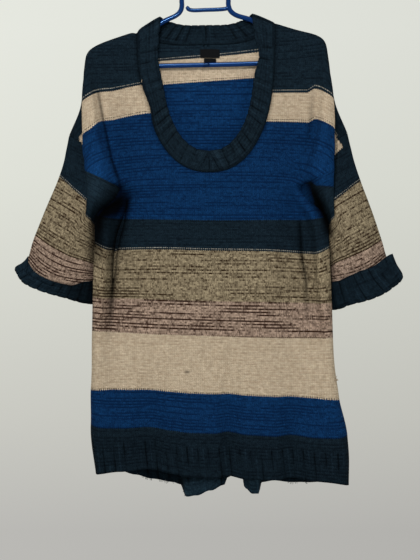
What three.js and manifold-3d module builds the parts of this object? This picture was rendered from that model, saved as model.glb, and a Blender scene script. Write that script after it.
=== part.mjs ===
// A long striped wool sweater with a deep round neck and turned-up cuffs, on a tubular plastic
// hanger. Millimetres, +Z up. The front faces -Y, and the origin is the inner crown of the hook,
// where the rail holds it. Left and right are as seen from the front, so left is -X.
import * as THREE from 'three';
import { mergeVertices } from 'three/addons/utils/BufferGeometryUtils.js';
import Module from 'manifold-3d';

// ---------------------------------------------------------------- driving dimensions
const WALL = 2.6; // knitted wall
const SEAM_GAP = 0.3; // clear gap between two sewn pieces
const RIM_DRAW = 0.6 * SEAM_GAP; // each side of a seam is drawn back by this
const BACK_DEPTH = 0.9; // depth of the back folds, as a share of the front ones
const NECK = { top: -151, halfWidth: 124, depth: 254, power: [2.3, 2.4] }; // seam of the neckband
const NECK_EDGE = { top: -151, halfWidth: 88, depth: 215, power: [2.3, 2.4] }; // free edge of the neckband
const BACK_NECK_DROP = -175; // height of the back neck seam at the centre
const BAND_SHOULDER = { inset: 42, lift: 19, fade: 0.12 }; // how the band rises over the shoulder
const BAND_BACK_LIFT = 34; // and at the middle of the back
const CUFF = { sleeveEnd: 255, fold: 284, freeEdge: 238, standOff: 6, corner: 6 };
const HEM_TOP = -700; // height where the hem folds begin
const HEM_LEVEL = -957; // height of the side seams at the hem
const TUBE = { radius: 4.5, sides: 8 }; // the hanger's round bar
const HANGER_LEAN = 0.0205; // radians: the right shoulder hangs higher
const LABEL = { width: 35, top: -183, bottom: -198.5, x: 7, thickness: 0.8 };
const SIZE_TAB = { width: 22, top: -199.2, bottom: -210.5, x: 7, thickness: 0.8 };

// Half of the front, as a net of points. Each row follows one knitted course from the centre line
// out to the shoulder, sleeve or side seam: [distance from the centre, y, z]. The columns are the
// centre, the chest, the inner crease, the crest of the side fold, its edge, the valley behind
// that edge, the flap outside it, and the seam.
const BODY_NET = [
  [[0, 0, -112], [110, 0, -144], [200, 0, -174.5], [213, 0, -186],
    [219, 0, -212], [223, 0, -248], [229, 0, -287], [248.6, 0, -336.6]],
  [[0, -9, -124], [110, -8.8, -156], [200, -9, -186], [212, -9.5, -198],
    [218, -9.5, -219], [220, -8, -254], [226, -8, -292], [245, -6.5, -338.5]],
  [[0, -11, -184], [112, -10, -200], [199, -10, -216], [213, -18, -224],
    [222, -17, -242], [211, -8, -272], [224, -10, -309], [241, -9, -342]],
  [[0, -14, -252], [110, -13, -253], [197, -13, -256], [212, -28, -263],
    [225, -25, -275], [203, -12, -300], [223, -12, -329], [234, -10, -346]],
  [[0, -14, -303], [110, -14, -304], [189, -13, -307], [207, -38, -314],
    [225, -30, -327], [213, -21, -343], [203, -15, -357], [200, -13, -367]],
  [[0, -15, -333], [110, -15, -334], [184, -12, -338], [203, -41, -344],
    [222, -36, -355], [225, -29, -367], [219, -23, -377], [212, -19, -384]],
  [[0, -15, -362], [110, -15, -363], [177, -11, -368], [193, -37, -373],
    [206, -43, -379], [216, -40, -386], [222, -34, -393], [223, -29, -399]],
  [[0, -15, -381], [108, -15, -382], [171, -11, -388], [183, -30, -392],
    [192, -38, -396], [199, -42, -401], [204, -43, -405], [208, -42, -409]],
  [[0, -15, -403], [104, -15, -404], [162, -10, -410], [168, -18, -413],
    [173, -23, -415], [177, -27, -418], [181, -29, -420], [184, -30, -421]],
  [[0, -15, -425], [98, -15, -426], [139, -14, -428], [147, -13, -430],
    [152.5, -11.5, -431], [157, -9.5, -432], [161, -6, -433], [164, 0, -434]],
  [[0, -15.5, -454], [98, -15, -454], [152, -7, -456], [161, -11, -457],
    [170, -14, -457], [178, -11, -457], [180, -5, -457], [174, 0, -457]],
  [[0, -16, -491], [100, -16, -490], [167, -3, -489], [184, -26, -488],
    [199, -25, -486], [205, -17, -484], [196, -6, -483], [184, 3, -483]],
  [[0, -17, -546.5], [100, -17, -546], [177, -2, -549], [192, -28, -548],
    [205, -25, -541], [210, -16, -537], [201, -6, -535], [190, 3, -535]],
  [[0, -19, -637], [105, -19, -636], [184, -4, -636], [198, -27, -636],
    [209, -24, -635], [214, -15, -634], [208, -5, -634], [199, 4, -634]],
  [[0, -21, -697], [105, -21, -697], [192, -16, -695], [204, -25, -695],
    [211, -23, -694], [215.5, -14, -694], [214, -5, -694], [208, 4, -694]],
  [[0, -24, -803], [110, -23, -803], [190, -22, -803], [206, -23, -802],
    [214, -20, -802], [218.5, -13, -802], [219.5, -5, -802], [218, 3, -802]],
  [[0, -27, -872], [112, -26, -872], [195, -24, -873], [212, -24, -872],
    [221, -20, -870], [226, -12, -868], [228, -4, -868], [226, 4, -868]],
  [[0, -31, -953], [115, -28, -950], [195, -27, -953], [212, -25, -955],
    [220, -20, -956], [224.5, -12, -957], [226, -4, -957], [224, 4, -957]],
];
const SHOULDER_ROWS = 3; // rows 0 to 3 fan out from the shoulder seam
const UNDERARM_ROW = 9; // the armhole ends here, and the side seam begins
const BODY_ROWS = [3, 3.5, 4, 5, 6, 7, 8, 9, 10, 11, 12, 13, 14, 15, 16, 16.5, 17];
const SHOULDER = { front: [0, 0.5, 1, 2], back: [0, 0.5, 1, 1.4, 2.4] }; // rows of one face only
const BODY_COLUMNS = [0, 0.25, 0.5, 0.75, 1, 1.35, 1.7, 2, 2.5, 3, 3.5, 4, 4.5, 5, 6, 7];
const NECK_COLUMNS_END = 2; // columns inside this one close up to make room for the neckline

// Half of each sleeve ring, by its distance from the armhole seam at the top fold: the top fold,
// the flap, the valley, the turn, the edge and crest of the side fold, its foot, the underarm.
const SLEEVE_NET = [
  { reach: 15, ring: [[252, 0, -351], [238, -9, -360], [201, -13, -382], [212, -19, -398],
    [222, -28, -413], [207, -41, -423], [188, -30, -433], [173, -1, -444]] },
  { reach: 45, ring: [[259, 0, -381], [243, -11, -391], [204, -13, -415], [213, -18, -428],
    [221, -26, -440], [209, -37, -449], [200, -26, -458], [187.5, 1, -468.5]] },
  { reach: 85, ring: [[271, 0, -418], [249, -13, -431], [214, -14, -456], [217, -17, -466],
    [222, -22, -475], [217, -25, -481], [215, -14, -488], [203, 2, -499]] },
  { reach: 130, ring: [[288, 0, -462], [262, -14, -477], [236, -17, -494], [232, -20, -502],
    [225, -21, -508], [219, -18, -514], [212, -9, -520], [207, 3, -529]] },
  { reach: 195, ring: [[311, 0, -523], [284, -15, -541], [260, -19, -553], [247, -20, -559],
    [235, -20, -563], [225, -17, -567], [219, -9, -570], [213, 4, -573]] },
  { reach: 238, ring: [[323, 0, -556], [300, -16, -578], [275, -20, -592], [258, -21, -597],
    [241, -20, -600], [229, -17, -601], [221, -9, -601], [215, 4, -600]] },
  { reach: 284, ring: [[346, 0, -590], [330, -17, -611], [302, -22, -624], [278, -23, -631],
    [254, -22, -637], [240, -19, -642], [228, -9, -645], [219, 4, -646]] },
];
const SLEEVE_RINGS = [0, 15, 30, 45, 65, 85, 130, 195, 255];
const SLEEVE_TOP = [248.6, -336.6]; // the shoulder end of the armhole, which the sleeve swings about
const SEAM_BLEND = 30; // the sleeve takes the exact line of the armhole within this reach
const SLEEVE_SWING = { [-1]: 0.035, [1]: -0.035 }; // the left sleeve stands out more than the right
const CUFF_SAG = { [-1]: 12, [1]: -10 }; // how far the free edge of each cuff sags in its middle

// How far the middle of the garment has drifted to the right, and how much its courses slope, at
// each height: [z, drift, slope].
const HANG = [
  [0, 0, 0.0205], [-176, 3.6, 0.0205], [-329, 9, 0.01], [-545, 14.4, -0.0085],
  [-700, 15.5, -0.03], [-800, 17, -0.042], [-869, 25.2, -0.045], [-1000, 35, -0.045],
];
// Folds along the hem, from left to right: [x, how far forward] in front, and
// [x, how far back, how far the edge hangs below the side seams] behind.
const FRONT_FOLDS = [
  [-196, 0.5], [-150, 0], [-95, -1], [-55, 0.2], [-30, 0.8], [18, 0.7], [43, -0.5], [80, 0.7],
  [126, 0.8], [158, -0.4], [200, 0.4], [255, 0.4],
];
const FRONT_FOLD_DEPTH = 13;
const FRONT_FOLD_DROP = 5;
const BACK_FOLDS = [
  [-196, 0, 0], [-155, 0.4, 1], [-125, 0.9, 9], [-95, 1, 17], [-50, 1, 24], [-33, -0.95, 34],
  [-10, -1, 32], [12, -0.8, 26], [36, -0.1, 13], [55, 0.4, -2], [68, 0.2, 1], [78, -0.85, 21],
  [87, -0.95, 28], [98, -0.8, 28], [107, 0.3, 12], [128, 0.8, 9], [155, 0.9, 11], [185, 0.8, 9],
  [218, 0.3, 5], [255, 0, 0],
];
const BACK_FOLD_DEPTH = 16;

const HEM_FADE = 3; // the hem folds die away over this many columns before the side seam

// Middle lines of the hanger's bars, upright and square: [x, z].
const FRAME_BAR = [
  [-6, -81], [30, -81], [39, -84], [42, -93], [42, -104], [45, -115], [54, -125], [82, -139.5],
  [110, -153], [155, -168.5], [190, -181], [201, -185.5], [206, -192], [206, -200],
  [202, -207.5], [193, -211], [150, -211], [-6, -211],
];
const HOOK_BAR = [
  [-23.5, -27], [-24.5, -20], [-17.3, -2.7], [0, 4.5], [17.3, -2.7], [24.5, -20], [19.5, -35],
  [7, -46], [0, -57], [0, -70], [0, -81],
];
const ACCESSORY_BAR = [[43, -110], [34, -111.5], [0, -112.5], [-25, -112.5], [-31, -110], [-32, -104]];
const ACCESSORY_RADIUS = 4;

// ---------------------------------------------------------------- curves
const add = (p, q, f = 1) => p.map((v, i) => v + q[i] * f);
const mix = (p, q, f) => p.map((v, i) => v + (q[i] - v) * f);
const distance = (p, q) => Math.hypot(...p.map((v, i) => v - q[i]));
const smooth = (t) => {
  const c = Math.min(1, Math.max(0, t));
  return c * c * (3 - 2 * c);
};

// Centripetal Catmull-Rom between b and c, with neighbours a and d.
function span(a, b, c, d, f) {
  const knot = (p, q) => Math.sqrt(Math.max(distance(p, q), 1e-3));
  const t1 = knot(a, b);
  const t2 = t1 + knot(b, c);
  const t3 = t2 + knot(c, d);
  const t = t1 + (t2 - t1) * f;
  const blend = (p, q, from, to) => mix(p, q, (t - from) / (to - from));
  const left = blend(blend(a, b, 0, t1), blend(b, c, t1, t2), 0, t2);
  const right = blend(blend(b, c, t1, t2), blend(c, d, t2, t3), t1, t3);
  return blend(left, right, t1, t2);
}

// A point on the open curve through these points, at i + f from the start. before and after are
// the neighbours past its two ends.
function along(points, at, before, after) {
  const last = points.length - 1;
  const straightOn = (p, q) => add(p, add(p, q, -1));
  const i = Math.min(last - 1, Math.max(0, Math.floor(at)));
  const a = i > 0 ? points[i - 1] : before ?? straightOn(points[0], points[1]);
  const d = i < last - 1 ? points[i + 2] : after ?? straightOn(points[last], points[last - 1]);
  return span(a, points[i], points[i + 1], d, at - i);
}

function aroundRing(points, at) {
  const n = points.length;
  const i = Math.floor(at) % n;
  const pick = (j) => points[(j + n) % n];
  return span(pick(i - 1), pick(i), pick(i + 1), pick(i + 2), at - Math.floor(at));
}

// The value of a list of [x, ...values], smooth between its entries.
function lookUp(list, x) {
  const first = list[0][0];
  const last = list[list.length - 1][0];
  const ascending = last > first;
  const c = ascending ? Math.min(last, Math.max(first, x)) : Math.min(first, Math.max(last, x));
  let i = 0;
  while (i < list.length - 2 && (ascending ? list[i + 1][0] < c : list[i + 1][0] > c)) i += 1;
  const f = smooth((c - list[i][0]) / (list[i + 1][0] - list[i][0]));
  return mix(list[i].slice(1), list[i + 1].slice(1), f);
}

function solve(f, low, high) {
  for (let i = 0; i < 40; i += 1) {
    const middle = (low + high) / 2;
    if (f(middle) > 0) high = middle;
    else low = middle;
  }
  return (low + high) / 2;
}

// ---------------------------------------------------------------- body surface
// The plane that the back mirrors the front in: the side seam's, or the middle one above the
// underarm. The shoulder seam, row 0, is the same on both.
const foldPlane = (row) => (row >= UNDERARM_ROW ? BODY_NET[row][7][1] : 0);
const mirrorBack = ([d, y, z], plane) => [d, plane - (y - plane) * BACK_DEPTH, z];

const NET = { front: [], back: [] };
for (let column = 0; column < 8; column += 1) {
  const front = BODY_NET.map((row) => row[column]);
  NET.front.push(front);
  NET.back.push(front.map((p, row) => (row === 0 ? p : mirrorBack(p, foldPlane(row)))));
}

// A point of the half body before it hangs: column and row are places in the net.
function bodyPoint(face, column, row) {
  const other = face === 'front' ? 'back' : 'front';
  const line = NET[face].map((points, c) => along(points, row, NET[other][c][1]));
  const mirrored = [-line[1][0], line[1][1], line[1][2]];
  const beyond = row >= UNDERARM_ROW ? along(NET[other][6], row) : undefined;
  return along(line, column, mirrored, beyond);
}

// Half the width of a neckline at a height.
function neckWidth({ top, halfWidth, depth, power }, z) {
  const t = Math.max(0, (top - z) / depth);
  return t >= 1 ? 0 : halfWidth * (1 - t ** power[1]) ** (1 / power[0]);
}

// Positive on the panel's side of the neck seam.
const SHOULDER_POINT = solve((column) => bodyPoint('front', column, 0)[0] - NECK.halfWidth, 0, 2);
const SHOULDER_HEIGHT = bodyPoint('front', SHOULDER_POINT, 0)[2];
const pastNeckline = {
  front: ([d, , z]) => d - neckWidth(NECK, z),
  back: ([d, , z]) => BACK_NECK_DROP + (SHOULDER_HEIGHT - BACK_NECK_DROP) * (d / NECK.halfWidth) ** 4 - z,
};
const neckBottom = {
  front: solve((row) => NECK.top - NECK.depth - bodyPoint('front', 0, row)[2], 4, 10),
  back: solve((row) => pastNeckline.back(bodyPoint('back', 0, row)), 0, 3),
};

// The column where a row meets the neck seam, or the centre line below the neck.
function firstColumn(face, row) {
  if (row >= neckBottom[face]) return 0;
  if (row === 0) return SHOULDER_POINT;
  return solve((column) => pastNeckline[face](bodyPoint(face, column, row)), 0, 1.9);
}

// ---------------------------------------------------------------- how it hangs
// edge is how near the point is to the side seam, from 0 at the seam to 1.
function hang([x, y, z], face, edge = 1) {
  const [drift, slope] = lookUp(HANG, z);
  const px = x + drift;
  const depth = smooth((HEM_TOP - z) / (HEM_TOP - HEM_LEVEL)) * edge;
  if (face === 'front') {
    const [forward] = lookUp(FRONT_FOLDS, px);
    return [px, y - FRONT_FOLD_DEPTH * forward * depth, z + slope * x - FRONT_FOLD_DROP * forward * depth];
  }
  if (face === 'back') {
    const [backward, drop] = lookUp(BACK_FOLDS, px);
    return [px, y + BACK_FOLD_DEPTH * backward * depth, z + slope * x - drop * depth];
  }
  return [px, y, z + slope * x];
}

// ---------------------------------------------------------------- surfaces
// A surface is a list of triangles over shared points. Each grid's rows run across its columns.
const key = (p) => p.map((v) => Math.round(v * 2000)).join();

function surfaceOf(grids) {
  const points = [];
  const triangles = [];
  const index = new Map();
  const number = (p) => {
    const k = key(p);
    if (!index.has(k)) {
      index.set(k, points.length);
      points.push(p);
    }
    return index.get(k);
  };
  for (const { rows, flip } of grids) {
    for (let i = 0; i + 1 < rows.length; i += 1) {
      for (let j = 0; j + 1 < rows[i].length; j += 1) {
        const [a, b, c, d] = [rows[i][j], rows[i][j + 1], rows[i + 1][j + 1], rows[i + 1][j]].map(number);
        for (const t of [[a, b, c], [a, c, d]]) {
          if (new Set(t).size === 3) triangles.push(flip ? [t[0], t[2], t[1]] : t);
        }
      }
    }
  }
  return { points, triangles };
}

const vector = (p) => new THREE.Vector3(...p);

function pointNormals({ points, triangles }) {
  const normals = points.map(() => new THREE.Vector3());
  for (const t of triangles) {
    const [a, b, c] = t.map((i) => vector(points[i]));
    const face = b.clone().sub(a).cross(c.clone().sub(a));
    t.forEach((i) => normals[i].add(face));
  }
  return normals.map((n) => n.normalize());
}

// Sewn edges share one normal, so that the two walls end face to face.
function shareNormals(surfaces) {
  const sums = new Map();
  for (const surface of surfaces) {
    surface.normals = pointNormals(surface);
    surface.points.forEach((p, i) => {
      const sum = sums.get(key(p)) ?? new THREE.Vector3();
      sums.set(key(p), sum.add(surface.normals[i]));
    });
  }
  for (const surface of surfaces) {
    surface.normals = surface.points.map((p) => sums.get(key(p)).clone().normalize());
  }
}

// The free edges of a surface: [from, to], with the surface on the left.
function rimOf({ triangles }) {
  const edges = new Map();
  for (const t of triangles) {
    for (let i = 0; i < 3; i += 1) {
      const [a, b] = [t[i], t[(i + 1) % 3]];
      if (edges.has(`${b},${a}`)) edges.delete(`${b},${a}`);
      else edges.set(`${a},${b}`, [a, b]);
    }
  }
  return [...edges.values()];
}

// The points of a surface, with its rim drawn back square to itself, and mitred at corners.
function drawnBack({ points, normals }, rim) {
  const pulls = new Map();
  for (const [a, b] of rim) {
    const way = vector(points[b]).sub(vector(points[a]));
    for (const i of [a, b]) {
      const pull = normals[i].clone().cross(way).normalize();
      pulls.set(i, [...(pulls.get(i) ?? []), pull]);
    }
  }
  return points.map((p, i) => {
    if (!pulls.has(i)) return vector(p);
    const [one, two] = pulls.get(i);
    const reach = RIM_DRAW / Math.max(0.4, 1 + one.dot(two));
    return vector(p).addScaledVector(one, reach).addScaledVector(two, reach);
  });
}

// The closed wall round a surface.
function thicken(surface, wall = WALL) {
  const { points, triangles, normals } = surface;
  const rim = rimOf(surface);
  const placed = drawnBack(surface, rim);
  const n = points.length;
  const positions = [];
  for (const sign of [1, -1]) {
    placed.forEach((p, i) => positions.push(...p.clone().addScaledVector(normals[i], (sign * wall) / 2)));
  }
  const faces = triangles.flatMap(([a, b, c]) => [a, b, c, a + n, c + n, b + n]);
  for (const [a, b] of rim) {
    // Both sides of a seam split their end faces along the same diagonal.
    if (key(points[a]) < key(points[b])) faces.push(b, a, a + n, b, a + n, b + n);
    else faces.push(b, a, b + n, a, a + n, b + n);
  }
  const geometry = new THREE.BufferGeometry();
  geometry.setAttribute('position', new THREE.Float32BufferAttribute(positions, 3));
  geometry.setIndex(faces);
  return geometry;
}

// ---------------------------------------------------------------- panels
const ROWS = {
  front: [...SHOULDER.front, neckBottom.front, ...BODY_ROWS].sort((a, b) => a - b),
  back: [...SHOULDER.back, neckBottom.back, ...BODY_ROWS].sort((a, b) => a - b),
};
// A column moved out of the neckline's way.
const closeUp = (column, from) => {
  const squeezed = from + (column / NECK_COLUMNS_END) * (NECK_COLUMNS_END - from);
  return Math.max(column, squeezed);
};

function panelGrid(face, side) {
  return ROWS[face].map((row) => {
    const from = firstColumn(face, row);
    return BODY_COLUMNS.map((column) => {
      const [d, y, z] = bodyPoint(face, closeUp(column, from), row);
      return hang([side * d, y, z], face, smooth((7 - column) / HEM_FADE));
    });
  });
}

const panel = (face) => surfaceOf([-1, 1].map((side) => ({
  rows: panelGrid(face, side),
  flip: (face === 'front') === (side === 1),
})));

// ---------------------------------------------------------------- sleeves
const RING_SIZE = 14; // places round a net ring: eight in front, from top to underarm, and six behind
const ringPlace = (row) => (row < SHOULDER_ROWS ? row / SHOULDER_ROWS : row - 2);
const wholeRing = (ring) => [...ring, ...ring.slice(1, 7).reverse().map((p) => mirrorBack(p, 0))];

const armhole = [0, 3, 4, 5, 6, 7, 8, 9].map((row) => BODY_NET[row][7]);
const sleeveNet = [{ reach: 0, ring: wholeRing(armhole) }];
for (const { reach, ring } of SLEEVE_NET) sleeveNet.push({ reach, ring: wholeRing(ring) });

function reachPlace(reach) {
  let i = 0;
  while (i < sleeveNet.length - 2 && sleeveNet[i + 1].reach < reach) i += 1;
  return i + (reach - sleeveNet[i].reach) / (sleeveNet[i + 1].reach - sleeveNet[i].reach);
}

function armholePoint(place) {
  const face = place <= RING_SIZE / 2 ? 'front' : 'back';
  const q = face === 'front' ? place : RING_SIZE - place;
  return bodyPoint(face, 7, q < 1 ? q * SHOULDER_ROWS : q + 2);
}

// A point of a sleeve: its place round the ring and its reach from the armhole.
function sleevePoint(side, place, reach) {
  const at = reachPlace(reach);
  const ring = sleeveNet[0].ring.map((_, i) => along(sleeveNet.map((station) => station.ring[i]), at));
  let p = aroundRing(ring, place);
  if (reach < SEAM_BLEND) {
    const miss = add(armholePoint(place), aroundRing(sleeveNet[0].ring, place), -1);
    p = add(p, miss, 1 - smooth(reach / SEAM_BLEND));
  }
  const free = smooth(Math.abs(place - RING_SIZE / 2) / 5) * smooth(reach / 150);
  const swing = SLEEVE_SWING[side] * free;
  const [out, down] = [p[0] - SLEEVE_TOP[0], p[2] - SLEEVE_TOP[1]];
  return [p[0] - swing * down, p[1], p[2] + swing * out];
}

const ringPlaces = [
  ...ROWS.front.filter((row) => row <= UNDERARM_ROW).map(ringPlace),
  ...ROWS.back.filter((row) => row < UNDERARM_ROW).reverse().map((row) => RING_SIZE - ringPlace(row)),
];

const sleeveHung = (side, place, reach, out = 0) => {
  const [d, y, z] = sleevePoint(side, place, reach);
  if (!out) return hang([side * d, y, z]);
  const step = 0.02;
  const round = vector(sleevePoint(side, (place + step) % RING_SIZE, reach))
    .sub(vector(sleevePoint(side, (place - step + RING_SIZE) % RING_SIZE, reach)));
  const down = vector(sleevePoint(side, place, reach + 1)).sub(vector(sleevePoint(side, place, reach - 1)));
  const outward = round.cross(down).normalize().multiplyScalar(out);
  return hang([side * (d + outward.x), y + outward.y, z + outward.z]);
};

const sleeve = (side) => surfaceOf([{
  rows: SLEEVE_RINGS.map((reach) => ringPlaces.map((place) => sleeveHung(side, place % RING_SIZE, reach))),
  flip: side === -1,
}]);

// ---------------------------------------------------------------- cuffs
// Down inside from the sleeve's end to the fold, and up outside to the free edge.
function cuff(side) {
  const rows = [];
  const ring = (reachAt, outAt) => rows.push(ringPlaces.map((whole) => {
    const place = whole % RING_SIZE;
    const fromTop = Math.min(place, RING_SIZE - place);
    const sag = place < 7 ? Math.sin((Math.PI * place) / 7) ** 2 : 0;
    return sleeveHung(side, place, reachAt(sag), outAt(Math.exp(-(fromTop ** 2))));
  }));
  const { sleeveEnd, fold, freeEdge, standOff, corner } = CUFF;
  ring(() => sleeveEnd, () => 0);
  ring(() => fold - 5, () => 0);
  ring(() => fold, () => standOff / 2);
  ring(() => fold - 5, (top) => standOff + 1.5 * top);
  ring((sag) => (fold + freeEdge + CUFF_SAG[side] * sag) / 2, (top) => standOff + corner * 0.6 * top);
  ring((sag) => freeEdge + CUFF_SAG[side] * sag, (top) => standOff + corner * top);
  return surfaceOf([{ rows, flip: side === -1 }]);
}

// ---------------------------------------------------------------- neckband
// The point of the free edge beside a point of the neck seam.
function neckEdge(face, [d, y, z]) {
  const share = d / NECK.halfWidth;
  const over = [share * (NECK.halfWidth - BAND_SHOULDER.inset), y, z + BAND_SHOULDER.lift];
  if (face === 'back') return add(over, [0, 0, BAND_BACK_LIFT - BAND_SHOULDER.lift], 1 - share ** 4);
  const t = Math.max(0, SHOULDER_HEIGHT - z) / NECK.depth;
  const height = NECK_EDGE.top - t * NECK_EDGE.depth;
  const below = [neckWidth(NECK_EDGE, height), y * 1.05, height];
  return mix(below, over, Math.exp(-((t / BAND_SHOULDER.fade) ** 2)));
}

function neckband() {
  const pairs = [];
  for (const face of ['front', 'back']) {
    const rows = ROWS[face].filter((r) => r <= neckBottom[face] && !(face === 'back' && r === 0));
    const list = rows.map((row) => bodyPoint(face, firstColumn(face, row), row));
    if (face === 'front') list.reverse();
    for (const p of list) pairs.push([p, neckEdge(face, p)]);
  }
  return surfaceOf([-1, 1].map((side) => ({
    rows: [0, 1 / 3, 2 / 3, 1].map((f) => pairs.map(([outer, inner]) => {
      const [d, y, z] = mix(outer, inner, f);
      return hang([side * d, y, z]);
    })),
    flip: side === -1,
  })));
}

// ---------------------------------------------------------------- label and size tab
// A patch lying on the inside of the back panel.
function patch({ width, top, bottom, x, thickness }) {
  const away = -(WALL / 2 + SEAM_GAP + thickness / 2);
  const rows = [top, (top + bottom) / 2, bottom].map((z) => [-0.5, -0.17, 0.17, 0.5].map((f) => {
    const px = x + f * width;
    const row = solve((r) => z - bodyPoint('back', 0.2, r)[2], 0, 5);
    const column = solve((c) => bodyPoint('back', c, row)[0] - Math.abs(px), 0, 2);
    const [, y, height] = bodyPoint('back', column, row);
    return hang([px, y + away, height]);
  }));
  const surface = surfaceOf([{ rows, flip: false }]);
  surface.normals = pointNormals(surface);
  return thicken(surface, thickness);
}

// ---------------------------------------------------------------- hanger
const wasm = await Module();
wasm.setup();

function solidOf(geometry) {
  const bare = geometry.clone();
  bare.deleteAttribute('normal');
  bare.deleteAttribute('uv');
  const merged = mergeVertices(bare, 1e-3);
  return new wasm.Manifold(new wasm.Mesh({
    numProp: 3,
    vertProperties: merged.attributes.position.array,
    triVerts: new Uint32Array(merged.index.array),
  }));
}

function bar(points, steps, radius = TUBE.radius) {
  const middle = points.map(([x, z]) => new THREE.Vector3(x, 0, z));
  const path = new THREE.CatmullRomCurve3(middle, false, 'centripetal');
  const section = new THREE.Shape();
  for (let i = 0; i < TUBE.sides; i += 1) {
    const a = ((i + 0.5) / TUBE.sides) * 2 * Math.PI;
    const point = [radius * Math.cos(a), radius * Math.sin(a)];
    if (i === 0) section.moveTo(...point);
    else section.lineTo(...point);
  }
  return new THREE.ExtrudeGeometry(section, { steps, bevelEnabled: false, extrudePath: path });
}

function hangerGeometry() {
  const mirrored = FRAME_BAR.map(([x, z]) => [-x, z]);
  let solid = solidOf(bar(FRAME_BAR, 26));
  for (const piece of [bar(mirrored, 26), bar(HOOK_BAR, 18), bar(ACCESSORY_BAR, 7, ACCESSORY_RADIUS)]) {
    solid = solid.add(solidOf(piece));
  }
  const mesh = solid.getMesh();
  const geometry = new THREE.BufferGeometry();
  geometry.setAttribute('position', new THREE.Float32BufferAttribute(mesh.vertProperties, 3));
  geometry.setIndex([...mesh.triVerts]);
  return geometry;
}

// ---------------------------------------------------------------- the part
const navyKnit = new THREE.MeshStandardMaterial({ color: 0x121a26, roughness: 0.95, metalness: 0 });
const stripedKnit = new THREE.MeshStandardMaterial({ color: 0x24416b, roughness: 0.95, metalness: 0 });
const blackTape = new THREE.MeshStandardMaterial({ color: 0x0c0d0f, roughness: 0.8, metalness: 0 });
const bluePlastic = new THREE.MeshStandardMaterial({ color: 0x14329a, roughness: 0.2, metalness: 0 });

const group = new THREE.Group();

function addPiece(name, geometry, material) {
  geometry.computeVertexNormals();
  const mesh = new THREE.Mesh(geometry, material);
  mesh.name = name;
  group.add(mesh);
  return mesh;
}

const cloth = [
  ['front_panel', panel('front'), stripedKnit],
  ['back_panel', panel('back'), stripedKnit],
  ['sleeve_left', sleeve(-1), stripedKnit],
  ['sleeve_right', sleeve(1), stripedKnit],
  ['cuff_left', cuff(-1), navyKnit],
  ['cuff_right', cuff(1), navyKnit],
  ['neckband', neckband(), navyKnit],
];
shareNormals(cloth.map(([, surface]) => surface));
for (const [name, surface, material] of cloth) addPiece(name, thicken(surface), material);
addPiece('label', patch(LABEL), blackTape);
addPiece('size_tab', patch(SIZE_TAB), blackTape);
addPiece('hanger', hangerGeometry(), bluePlastic).rotation.y = -HANGER_LEAN;

export default group;
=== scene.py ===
"""The looks of a long striped wool sweater on a blue plastic hanger.

Every cloth piece is made from the same net of points as the CAD part, sampled finely enough for
its folds and ribs, with the knitted wall of 2.6 mm. Stitches are bump, and their low places and
the ribs' grooves also get painted shade. The net is in millimetres, the meshes are in metres.
Left is -X, as seen from the front, which faces -Y.
"""
import math

import bpy
import numpy as np
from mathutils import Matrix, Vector


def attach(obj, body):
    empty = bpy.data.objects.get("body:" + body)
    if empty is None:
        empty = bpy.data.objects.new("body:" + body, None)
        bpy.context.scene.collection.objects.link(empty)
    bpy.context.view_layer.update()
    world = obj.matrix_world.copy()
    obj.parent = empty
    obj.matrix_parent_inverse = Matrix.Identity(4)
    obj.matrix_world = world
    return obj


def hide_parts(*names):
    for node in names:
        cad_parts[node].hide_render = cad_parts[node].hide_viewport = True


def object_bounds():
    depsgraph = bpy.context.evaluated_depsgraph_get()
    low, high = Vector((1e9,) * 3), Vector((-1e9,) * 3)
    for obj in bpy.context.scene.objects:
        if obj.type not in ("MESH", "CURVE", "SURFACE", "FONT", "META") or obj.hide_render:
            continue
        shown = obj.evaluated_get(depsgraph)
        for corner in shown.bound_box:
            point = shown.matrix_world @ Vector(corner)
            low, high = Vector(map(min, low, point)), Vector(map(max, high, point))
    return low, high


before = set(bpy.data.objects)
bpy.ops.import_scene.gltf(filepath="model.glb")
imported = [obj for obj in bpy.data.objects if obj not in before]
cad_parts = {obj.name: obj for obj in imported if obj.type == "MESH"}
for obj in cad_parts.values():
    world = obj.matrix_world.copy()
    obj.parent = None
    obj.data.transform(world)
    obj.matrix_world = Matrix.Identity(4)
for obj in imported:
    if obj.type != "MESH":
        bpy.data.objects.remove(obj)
cad_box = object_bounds()

# ------------------------------------------------------------------ driving dimensions, in mm
MM = 0.001
WALL = 2.6
SEAM_PULL = 0.18  # each side of a seam is drawn back by this
BACK_DEPTH = 0.9  # how deep the back is, as a share of the front
NECK = {"top": -151, "half": 124, "depth": 254}
NECK_EDGE = {"top": -151, "half": 88, "depth": 215}
NECK_POWERS = (2.3, 2.4)
BACK_NECK_DROP = -175
BAND_WIDTH = 37
BAND_SHOULDER = {"inset": 42, "lift": 19, "fade": 0.12}
BAND_BACK_LIFT = 34
BAND_STEP = 3.2
# In mm down the sleeve, where it ends and where the cuff folds up and ends. The fold bends over
# "turn", and the turned-up part stands off the sleeve.
CUFF = {"sleeve_end": 255, "fold": 284, "turn": 5, "free_edge": 238, "stand_off": 6}
# How far each cuff's top fold stands out more, half way up and at the free edge.
CUFF_FLARE = {-1: (-1, -5), 1: (3.6, 6)}
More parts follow.
